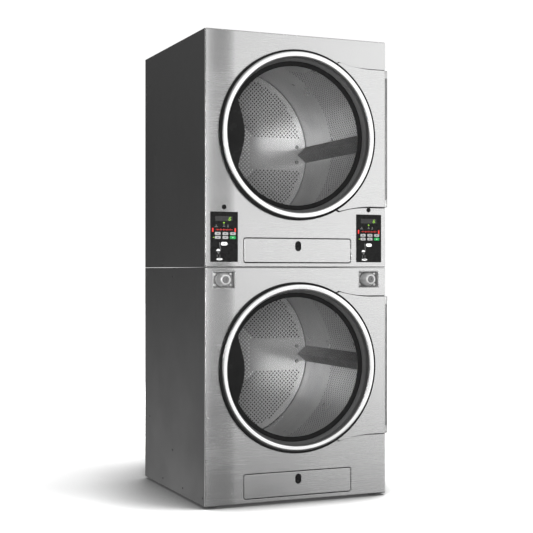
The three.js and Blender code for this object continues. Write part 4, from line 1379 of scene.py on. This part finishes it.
def build_coin_unit(side):
    """Coin vault liner, the drawer's plate and box, the conical lock housing and the lock cylinder."""
    vault_lo, vault_hi = box(f"{side}_coin_vault")
    centre = (vault_lo + vault_hi) / 2
    centre[1] = unit_axis("lower")[1]
    width, tall = vault_hi[0] - vault_lo[0], vault_hi[2] - vault_lo[2]
    depth = vault_hi[1] - centre[1]
    walls = []
    for sign in (-1, 1):
        wall = rounded_rectangle(depth - 1, tall, 1.5, ((depth + 1) / 2, 0))
        walls += sheet([wall], 2.4, "+X" if sign > 0 else "-X", sign * width / 2, 0.5)
        shelf = rounded_rectangle(width - 4.9, depth - 1, 1.5, (0, (depth + 1) / 2))
        walls += sheet([shelf], 2.4, "+Z" if sign > 0 else "-Z", sign * tall / 2, 0.5)
    rear = rounded_rectangle(width - 4.9, tall - 4.9, 1.5)
    walls += sheet([rear], 2.4, "+Y", depth, 0.5)
    piece(
        f"{side}_vault_liner", walls, "cabinet", "zinc", at=centre,
        stands_for=[f"{side}_coin_vault"],
    )
    body = f"{side}_coin_drawer"
    drawer_lo, drawer_hi = box(f"{side}_coin_box")
    half_w, half_t = (drawer_hi[0] - drawer_lo[0]) / 2, (drawer_hi[2] - drawer_lo[2]) / 2
    plate_front, box_back = 18.0, drawer_hi[1] - centre[1]
    outline = rounded_rectangle(2 * half_w, 2 * half_t, 3)
    plate = sheet([outline, circle(24, 64)], 5, "-Y", plate_front, [1.5, 0.5])
    piece(
        f"{side}_coin_plate", plate, body, "tunnel", at=centre,
        stands_for=[f"{side}_coin_box"],
    )
    trough = []
    span = box_back - plate_front - 5.2
    for sign in (-1, 1):
        wall = rounded_rectangle(span, 2 * half_t - 2, 2, (plate_front + 5.2 + span / 2, -0.5))
        trough += sheet([wall], 2, "+X" if sign > 0 else "-X", sign * (half_w - 0.5), 0.5)
    inner = 2 * half_w - 5.2
    bottom = rounded_rectangle(inner, span, 2, (0, plate_front + 5.2 + span / 2))
    trough += sheet([bottom], 2, "-Z", -half_t + 0.5, 0.5)
    trough += sheet([rounded_rectangle(inner, 2 * half_t - 2, 2, (0, -0.5))], 2, "+Y", box_back, 0.5)
    piece(f"{side}_coin_trough", trough, body, "zinc", at=centre)
    tip = drawer_lo[1] - centre[1]
    cone = softened([
        (15.4, tip), (20.5, tip), (23, tip + 1.2), (31.8, 6.5), (32.5, 9), (32.5, plate_front + 0.2),
        (15.4, plate_front + 0.2),
    ], [0.4, 1.5, 1.6, 2.5, 1.5, 0.3, 0.3], 5)
    piece(f"{side}_lock_cone", turned(cone, 96), body, "drum", at=centre, sharp=50)
    bolts = copies(dome(7.2, 4.2, "-Y", 7, 28), [
        (sx * 37.5, plate_front, sz * 24.5) for sx in (-1, 1) for sz in (-1, 1)
    ])
    piece(f"{side}_coin_bolts", bolts, body, "drum", at=centre, sharp=60)
    front = box(f"{side}_coin_lock")[0][1] - centre[1]
    slot_loop = rounded_rectangle(3.0, 12.5, 1.2)
    barrel = sheet([circle(14.9, 64), slot_loop], 8, "-Y", front, [1.2, 0.3])
    tube = softened([(0, front + 5), (14.9, front + 5), (14.9, 24), (0, 24)], 0.4, closed=False)
    cam = sheet([rounded_rectangle(12, 30, 3, (0, 9))], 3.2, "-Y", 24.8, 0.4)
    piece(
        f"{side}_lock_barrel", [*barrel, turned(tube, 48, closed=False), *cam], f"{side}_lock_cylinder",
        "tunnel", at=centre, stands_for=[f"{side}_coin_lock"],
    )


# ------------------------------------------------------------------ drive and blower


def grooved(radius, middle, half, grooves, depth=7.0):
    """Rim of a belt wheel: V grooves side by side between two flat lands."""
    pitch = 2 * half / grooves
    points = [(radius, middle - half)]
    for k in range(grooves):
        y = middle - half + (k + 0.5) * pitch
        points += [
            (radius, y - 0.36 * pitch), (radius - depth, y - 0.12 * pitch),
            (radius - depth, y + 0.12 * pitch), (radius, y + 0.36 * pitch),
        ]
    return points + [(radius, middle + half)]


def spokes(count, inner, outer, y, wide, thick):
    """Tapering arms: an oval section that narrows from hub to rim, one arm per step of the turn."""
    v = np.linspace(0, TURN, 16, endpoint=False)
    r = np.linspace(inner, outer, 6)
    taper = np.linspace(1.0, 0.72, 6)
    a = np.arange(count) * TURN / count
    oval_w, oval_y = wide / 2 * np.cos(v), thick / 2 * np.sin(v)
    radial = np.broadcast_to(r[:, None], (6, 16))
    side = taper[:, None] * oval_w[None]
    deep = y + taper[:, None] * oval_y[None]
    surfaces = []
    for angle in a:
        c, s = math.cos(angle), math.sin(angle)
        points = np.stack([radial * c - side * s, deep, radial * s + side * c], -1).reshape(-1, 3)
        surfaces.append((points, capped(6, 16)))
    return surfaces


def belt_path(a, ra, b, rb, steps=48):
    """Open belt round two wheels: the two arcs that the outer tangents leave, joined by straight runs."""
    a, b = np.asarray(a, float), np.asarray(b, float)
    gap = b - a
    distance = np.hypot(*gap)
    lean = math.atan2(gap[1], gap[0])
    spread = math.acos((ra - rb) / distance)
    va = np.linspace(lean + spread, lean + TURN - spread, steps)
    vb = np.linspace(lean - spread, lean + spread, steps)
    wheel_a = a + ra * around(va)
    wheel_b = b + rb * around(vb)
    t = np.linspace(0, 1, 18)[1:-1, None]
    runs = [wheel_a[-1] + t * (wheel_b[0] - wheel_a[-1]), wheel_b[-1] + t * (wheel_a[0] - wheel_b[-1])]
    return np.concatenate([wheel_a, runs[0], wheel_b, runs[1]])


def build_drive(unit):
    """Drum sheave with its arms, the idler's two sheaves on one hub, the belts and what stands behind."""
    axis = unit_axis(unit)
    pulley_lo, pulley_hi = box(f"{unit}_drum_pulley")
    idler = middle_of(f"{unit}_idler_pulley") - axis
    motor = middle_of(f"{unit}_motor") - axis
    plane, motor_plane, half = BELT_PLANE, MOTOR_PLANE, BELT_HALF
    rim_radius = (pulley_hi[0] - pulley_lo[0]) / 2
    body = f"{unit}_drum"
    rim = grooved(rim_radius, plane, half, 2) + [(rim_radius - 20, plane + 9), (rim_radius - 20, plane - 9)]
    hub = softened([
        (25.4, plane - 16), (50, plane - 16), (54, plane - 8), (54, plane + 12), (46, plane + 20),
        (25.4, plane + 20),
    ], 2)
    arms = spokes(5, 40, rim_radius - 16, plane, 46, 15)
    wheel = [turned(softened(rim, 0.6, 2), 144), turned(hub, 64), *arms]
    piece(
        f"{unit}_drum_sheave", wheel, body, "iron", at=axis,
        stands_for=[f"{unit}_drum_pulley"],
    )
    small = grooved(IDLER_SMALL, plane, half, 2, 6.0)
    large = grooved(IDLER_LARGE, motor_plane, half, 2, 6.0)
    column = softened([
        (12.5, plane - half), *small, (21, plane + 14), (21, motor_plane - half), (98, motor_plane - 5),
        (104, motor_plane - half), *large, (104, motor_plane + half), (98, motor_plane + 5),
        (22, motor_plane + 8), (22, motor_plane + half), (12.5, motor_plane + half),
    ], 0.7, 2)
    piece(
        f"{unit}_idler_sheaves", turned(column, 96, at=(idler[0], 0, idler[2])), f"{unit}_idler",
        "iron", at=axis, stands_for=[f"{unit}_idler_pulley"],
    )
    section = softened([(2.2, -5.6), (2.2, 5.6), (-5.2, 3.4), (-5.2, -3.4)], 0.8, 2)
    runs = (
        ("drum_belt", (0, 0), rim_radius, idler[::2], IDLER_SMALL, plane),
        ("motor_belt", idler[::2], IDLER_LARGE, motor[::2], MOTOR_SHEAVE, motor_plane),
    )
    for name, a, ra, b, rb, y in runs:
        points, faces = carried(upright(belt_path(a, ra, b, rb)), section, (0, 1, 0))
        strands = [(points + np.array([0, y + offset, 0]), faces) for offset in (-6.0, 6.0)]
        piece(f"{unit}_{name}", strands, "cabinet", "rubber", at=axis)
    build_bearing(unit, axis)
    build_motor(unit, axis, motor)
    build_blower(unit, axis, motor)


def build_bearing(unit, axis):
    """Bearing housing: a flanged tube held by six bolts."""
    lo, hi = box(f"{unit}_bearing_housing")
    front, back = lo[1] - axis[1], hi[1] - axis[1]
    profile = softened([
        (25.5, front), (120, front), (120, front + 10), (112, front + 12), (66, front + 15), (50, front + 34),
        (48, back - 32), (55, back - 26), (55, back - 3), (50, back), (25.5, back),
    ], [0.5, 0.8, 3, 2, 8, 8, 3, 2, 2, 2, 0.5], 5)
    surfaces = [turned(profile, 96)]
    v = np.arange(6) * TURN / 6 + TURN / 12
    bolts = upright(98 * around(v), front + 12.0)
    head = softened([(0, -0.5), (9, -0.5), (9, 6), (7.5, 7), (0, 7)], 0.5, 2, closed=False)
    hexes = turned(head, 6, closed=False)
    surfaces.append(copies(hexes, bolts))
    piece(
        f"{unit}_bearing_casting", surfaces, "cabinet", "iron", at=axis,
        stands_for=[f"{unit}_bearing_housing"],
    )


def build_motor(unit, axis, motor):
    """Motor: end bells, a finned barrel and a terminal box; its shaft carries the small sheave and the fan,
    whose blades turn by the 1.4th power of the way from root to tip."""
    lo, hi = box(f"{unit}_motor")
    front, back = lo[1] - axis[1], hi[1] - axis[1]
    fins, start, end = 15, front + 24, back - 24
    y = np.linspace(start, end, 2 * fins + 1)
    ridges = []
    for k in range(2 * fins + 1):
        radius = 74.5 if k % 2 else 69.0
        ridges += [(radius, y[k] - 1.1), (radius, y[k] + 1.1)]
    profile = softened([
        (12.6, front), (56, front), (58, front + 6), (70, front + 18), *ridges, (70, back - 18),
        (58, back - 4), (50, back), (12.6, back),
    ], 0.7, 2)
    spot = np.array([motor[0], 0, motor[2]])
    terminal = sheet([rounded_rectangle(62, 46, 6, (0, (front + back) / 2 + 10))], 34, "+Z", 104, 3)
    surfaces = [(p + spot, f) for p, f in (turned(profile, 72), *terminal)]
    piece(
        f"{unit}_motor_frame", surfaces, "cabinet", "paint", at=axis,
        stands_for=[f"{unit}_motor"],
    )
    shaft_lo, shaft_hi = box(f"{unit}_motor_shaft")
    first, last = shaft_lo[1] - axis[1], shaft_hi[1] - axis[1]
    bar = softened([(0, first + 6), (11.8, first + 6), (11.8, last), (0, last)], 1, closed=False)
    hub = softened([(11, 915), (22, 916), (24, 925), (30, 940), (112, 940), (112, 943.6), (11, 943.6)], 1.5)
    groove = grooved(MOTOR_SHEAVE, MOTOR_PLANE, BELT_HALF, 2, 6)
    sheave = softened([(11, MOTOR_PLANE - BELT_HALF), *groove, (11, MOTOR_PLANE + BELT_HALF)], 0.6, 2)
    parts = [turned(bar, 32, closed=False), turned(hub, 72), turned(sheave, 64)]
    blades, root, tip = 10, 26, 110
    r = np.linspace(root, tip, 10)
    for k in range(blades):
        lean = k * TURN / blades + 0.45 * ((r - root) / (tip - root)) ** 1.4
        c, s = np.cos(lean), np.sin(lean)
        depth = np.array([first + 0.5, 941.0])
        px, pz = np.broadcast_to((r * c)[:, None], (10, 2)), np.broadcast_to((r * s)[:, None], (10, 2))
        py = np.broadcast_to(depth[None], (10, 2))
        mid = np.stack([px, py, pz], -1).reshape(-1, 3)
        across = np.stack([-s, np.zeros(10), c], 1).repeat(2, 0)
        parts.append(thickened(mid, lattice(10, 2), across * 2.2))
    parts = [(p + spot, f) for p, f in parts]
    piece(
        f"{unit}_fan_rotor", parts, f"{unit}_rotor", "aluminium", at=axis,
        stands_for=[f"{unit}_motor_shaft"], sharp=40,
    )


def build_blower(unit, axis, motor):
    """Blower scroll: front and back sheets of the scroll's outline, the strip carried round it, and the
    collar that the duct slips over."""
    lo, hi = box(f"{unit}_blower_housing") - axis
    front, sheet_back = lo[1], lo[1] + 100
    radius = SCROLL_RADIUS
    out = np.array([DUCT_X, DUCT_HEIGHT - AXIS_HEIGHT])
    half = 105.0
    spot = np.array([motor[0], motor[2]])
    v = np.linspace(math.asin((out[1] + half - spot[1]) / radius), 1.5 * math.pi, 60)
    arc = spot + radius * around(v)
    right = out[0] + half
    corners = np.array([
        (spot[0] + 20, out[1] - half), (right - 8, out[1] - half), (right, out[1] - half + 8),
        (right, out[1] + half - 8), (right - 8, out[1] + half),
    ])
    outline = np.concatenate([arc, corners])
    bore, end = 97.6, hi[1]
    front_sheet = sheet([outline, circle(BLOWER_INLET, 96, spot)], 3, "-Y", front, [1.2, 1.0])
    holes = circle(16, 32, spot), circle(bore, 96, out)
    back_sheet = sheet([outline, *holes], 3, "+Y", sheet_back, [1.2, 0.5, 0.5])
    strip = [(-2.2, front + 1), (-0.2, front + 1), (-0.2, sheet_back - 1), (-2.2, sheet_back - 1)]
    wall = carried(upright(outline), strip, (0, 1, 0))
    collar = softened([
        (bore, sheet_back - 3), (bore, end), (99.6, end), (101.4, end - 1), (101.4, end - 40),
        (103.0, end - 43), (101.4, end - 46), (101.4, sheet_back + 2), (108, sheet_back + 0.5),
        (108, sheet_back - 1),
    ], 0.8, 3)
    piece(
        f"{unit}_blower_scroll", [*front_sheet, *back_sheet, wall], "cabinet",
        "zinc", at=axis, stands_for=[f"{unit}_blower_housing"],
    )
    piece(
        f"{unit}_duct_collar", turned(collar, 96, at=(out[0], 0, out[1])), "cabinet",
        "zinc", at=axis,
    )
    bolts = upright(118 * around(np.arange(8) * TURN / 8) + spot, sheet_back)
    screw_heads(f"{unit}_scroll_screws", bolts + axis, "+Y", "cabinet", radius=4.5)


# ------------------------------------------------------------------ stage


def build_floor():
    """A broad pale floor on a square grid of points. Ambient occlusion darkens its colour near the dryer as a
    painted contact shadow, and its glow rises with distance from the middle so that the far floor is white.
    """
    x = np.linspace(-30000, 30000, 13)
    u, v = np.meshgrid(x, x, indexing="ij")
    level = CAD_BOX[0].z / MM - 0.2
    points = np.stack([u.ravel(), v.ravel(), np.full(u.size, level)], 1)
    mesh = bpy.data.meshes.new("floor")
    mesh.from_pydata((points * MM).tolist(), [], [list(reversed(f)) for f in lattice(13, 13)])
    look = Recipe("floor_paper", 0.6, 0.0)
    reach = look.node("VectorMath", {0: look.coordinates}, operation="LENGTH").outputs["Value"]
    look.set("Emission Strength", look.spread(reach, 0.05, 1.0, 1.1, 4.0))
    # painted contact shadow: the floor's colour turns dark grey where ambient occlusion finds the dryer close
    contact_shadow = look.node("AmbientOcclusion", {"Distance": 0.5}).outputs["AO"]
    look.set("Base Color", look.blend(look.spread(contact_shadow, 0, 1, 0.45, 0.97), grey(70), grey(247)))
    look.shader.inputs["Emission Color"].default_value = (1, 1, 1, 1)
    mesh.materials.append(look.material)
    floor = bpy.data.objects.new("floor", mesh)
    bpy.context.scene.collection.objects.link(floor)
    floor.visible_glossy = False


def soft_light(name, power, place, target, size, glossy=False):
    """Square softbox that faces a point."""
    data = bpy.data.lights.new(name, "AREA")
    data.shape, data.size, data.size_y, data.energy = "RECTANGLE", size, size, power
    lamp = bpy.data.objects.new(name, data)
    lamp.location = place
    lamp.visible_glossy = glossy
    lamp.rotation_mode = "QUATERNION"
    lamp.rotation_quaternion = (Vector(target) - Vector(place)).to_track_quat("-Z", "Y")
    bpy.context.scene.collection.objects.link(lamp)


def build_studio():
    """White surroundings for the eye; for light and reflections, soft bright fields on a grey studio."""
    world = bpy.data.worlds.new("studio")
    bpy.context.scene.world = world
    world.use_nodes = True
    tree = world.node_tree
    tree.nodes.clear()
    direction = add_node(tree, "TexCoord", {}).outputs["Generated"]

    def field(toward, start, end, strength):
        """Soft bright field: strength times a smooth step of the cosine towards its middle."""
        cosine = {0: direction, 1: Vector(toward).normalized()}
        dot = add_node(tree, "VectorMath", cosine, operation="DOT_PRODUCT").outputs["Value"]
        sockets = {"Value": dot, "From Min": start, "From Max": end, "To Min": 0.0, "To Max": strength}
        return add_node(tree, "MapRange", sockets, interpolation_type="SMOOTHSTEP").outputs["Result"]

    def combine(operation, first, second):
        """Sum or product of two strengths."""
        return add_node(tree, "Math", {0: first, 1: second}, operation=operation).outputs[0]

    horizon = field((0.385, 0.037, 0.922), -0.05, 0.06, 1.0)
    total = combine("MULTIPLY", field((0.77, -0.64, 0.0), 0.70, 0.95, 1.5), horizon)
    others = (
        ((-0.45, 0.85, -0.34), 0.92, 0.995, 1.0),
        ((-0.62, 0.72, 0.30), 0.90, 0.995, 0.55),
        ((0.0, 0.0, 1.0), 0.3, 0.95, 0.45),
    )
    for args in others:
        total = combine("ADD", total, field(*args))
    total = combine("ADD", total, STUDIO_BASE)
    white = (1, 1, 1, 1)
    studio = add_node(tree, "Background", {"Color": white, "Strength": total}).outputs[0]
    backdrop = add_node(tree, "Background", {"Color": white, "Strength": BACKDROP}).outputs[0]
    seen = add_node(tree, "LightPath", {}).outputs["Is Camera Ray"]
    mix = add_node(tree, "MixShader", {0: seen, 1: studio, 2: backdrop}).outputs[0]
    add_node(tree, "OutputWorld", {"Surface": mix})


def build_camera():
    """Camera at its height beside the fronts, turned by the azimuth, slid aside and tilted."""
    settings = bpy.context.scene.dryer_stage
    lower = unit_axis("lower") * MM
    a, tilt = settings.azimuth, settings.tilt
    back = Vector((-math.sin(a), -math.cos(a), 0))
    right = Vector((math.cos(a), -math.sin(a), 0))
    place = Vector((lower[0], lower[1], 0)) + settings.distance * back - settings.slide * right
    place.z = settings.height
    data = bpy.data.cameras.new("camera")
    data.lens, data.sensor_width, data.clip_end = settings.lens, 36.0, 200.0
    camera = bpy.data.objects.new("camera", data)
    camera.location = place
    camera.rotation_mode = "QUATERNION"
    look = -back * math.cos(tilt) + Vector((0, 0, math.sin(tilt)))
    camera.rotation_quaternion = look.to_track_quat("-Z", "Y")
    bpy.context.scene.collection.objects.link(camera)
    bpy.context.scene.camera = camera


# ------------------------------------------------------------------ operators


class DRYER_OT_cabinet(bpy.types.Operator):
    """Builds the sheets, feet and screws of the cabinet"""

    bl_idname = "dryer.cabinet"
    bl_label = "Cabinet"

    def execute(self, context):
        build_cabinet()
        return {"FINISHED"}


class DRYER_OT_doors(bpy.types.Operator):
    """Builds both doors with their rings, seals, glass, pulls and hinges"""

    bl_idname = "dryer.doors"
    bl_label = "Doors"

    def execute(self, context):
        for unit in UNITS:
            build_door(unit)
        return {"FINISHED"}


class DRYER_OT_drums(bpy.types.Operator):
    """Builds the perforated drums with their backs and lifting ribs"""

    bl_idname = "dryer.drums"
    bl_label = "Drums"

    def execute(self, context):
        for unit in UNITS:
            build_drum(unit)
        return {"FINISHED"}


class DRYER_OT_controls(bpy.types.Operator):
    """Builds the two control panels"""

    bl_idname = "dryer.controls"
    bl_label = "Control panels"

    def execute(self, context):
        for side in SIDES:
            build_controls(side)
        return {"FINISHED"}


class DRYER_OT_lint(bpy.types.Operator):
    """Builds the two lint drawers"""

    bl_idname = "dryer.lint"
    bl_label = "Lint drawers"

    def execute(self, context):
        for unit in UNITS:
            build_lint_drawer(unit)
        return {"FINISHED"}


class DRYER_OT_coins(bpy.types.Operator):
    """Builds the two coin boxes and their locks"""

    bl_idname = "dryer.coins"
    bl_label = "Coin boxes"

    def execute(self, context):
        for side in SIDES:
            build_coin_unit(side)
        return {"FINISHED"}


class DRYER_OT_drive(bpy.types.Operator):
    """Builds the sheaves, belts, bearings, motors and blowers behind the cabinet"""

    bl_idname = "dryer.drive"
    bl_label = "Drive and blowers"

    def execute(self, context):
        for unit in UNITS:
            build_drive(unit)
        return {"FINISHED"}


class DRYER_OT_stage(bpy.types.Operator):
    """Builds the floor, the studio light and the camera"""

    bl_idname = "dryer.stage"
    bl_label = "Stage"

    def execute(self, context):
        settings = context.scene.dryer_stage
        build_floor()
        build_studio()
        lower = unit_axis("lower") * MM
        a = settings.azimuth
        front = (lower[0] - FRONT_REACH * math.sin(a), lower[1] - FRONT_REACH * math.cos(a), 1.3)
        fill, fronts = settings.front_light, (0.1, 0, 1.1)
        soft_light("key", settings.key_light, (1.1, -0.9, 5.2), (0.2, -0.2, 0), 2.4)
        soft_light("front", fill, front, fronts, 1.6)
        soft_light("rear", 0.7 * fill, (1.6, 4.4, 2.2), (0, 0.4, 1.0), 2.0)
        soft_light("glint", 1.1 * fill, front, fronts, 1.0, glossy=True)
        context.scene.view_settings.view_transform = "Standard"
        build_camera()
        return {"FINISHED"}


OPERATORS = (
    DRYER_OT_cabinet, DRYER_OT_doors, DRYER_OT_drums, DRYER_OT_controls, DRYER_OT_lint, DRYER_OT_coins,
    DRYER_OT_drive, DRYER_OT_stage,
)


class DRYER_PT_sidebar(bpy.types.Panel):
    """Lists the dryer's operators"""

    bl_label = "Stacked dryer"
    bl_space_type = "VIEW_3D"
    bl_region_type = "UI"
    bl_category = "Dryer"

    def draw(self, context):
        for operator in OPERATORS:
            self.layout.operator(operator.bl_idname)


GROUPS = {"dryer_finishes": DryerFinishes, "dryer_sizes": DryerSizes, "dryer_stage": DryerStage}


def register():
    """Adds the groups, the operators and the sidebar."""
    for kind in (*GROUPS.values(), *OPERATORS, DRYER_PT_sidebar):
        bpy.utils.register_class(kind)
    for name, group in GROUPS.items():
        setattr(bpy.types.Scene, name, PointerProperty(type=group))


def unregister():
    """Takes them away again."""
    for name in GROUPS:
        delattr(bpy.types.Scene, name)
    for kind in reversed((*GROUPS.values(), *OPERATORS, DRYER_PT_sidebar)):
        bpy.utils.unregister_class(kind)


def main():
    """Builds the dryer and its stage."""
    register()
    bpy.ops.dryer.cabinet()
    bpy.ops.dryer.doors()
    bpy.ops.dryer.drums()
    bpy.ops.dryer.controls()
    bpy.ops.dryer.lint()
    bpy.ops.dryer.coins()
    bpy.ops.dryer.drive()
    bpy.ops.dryer.stage()


if __name__ == "__main__":
    main()
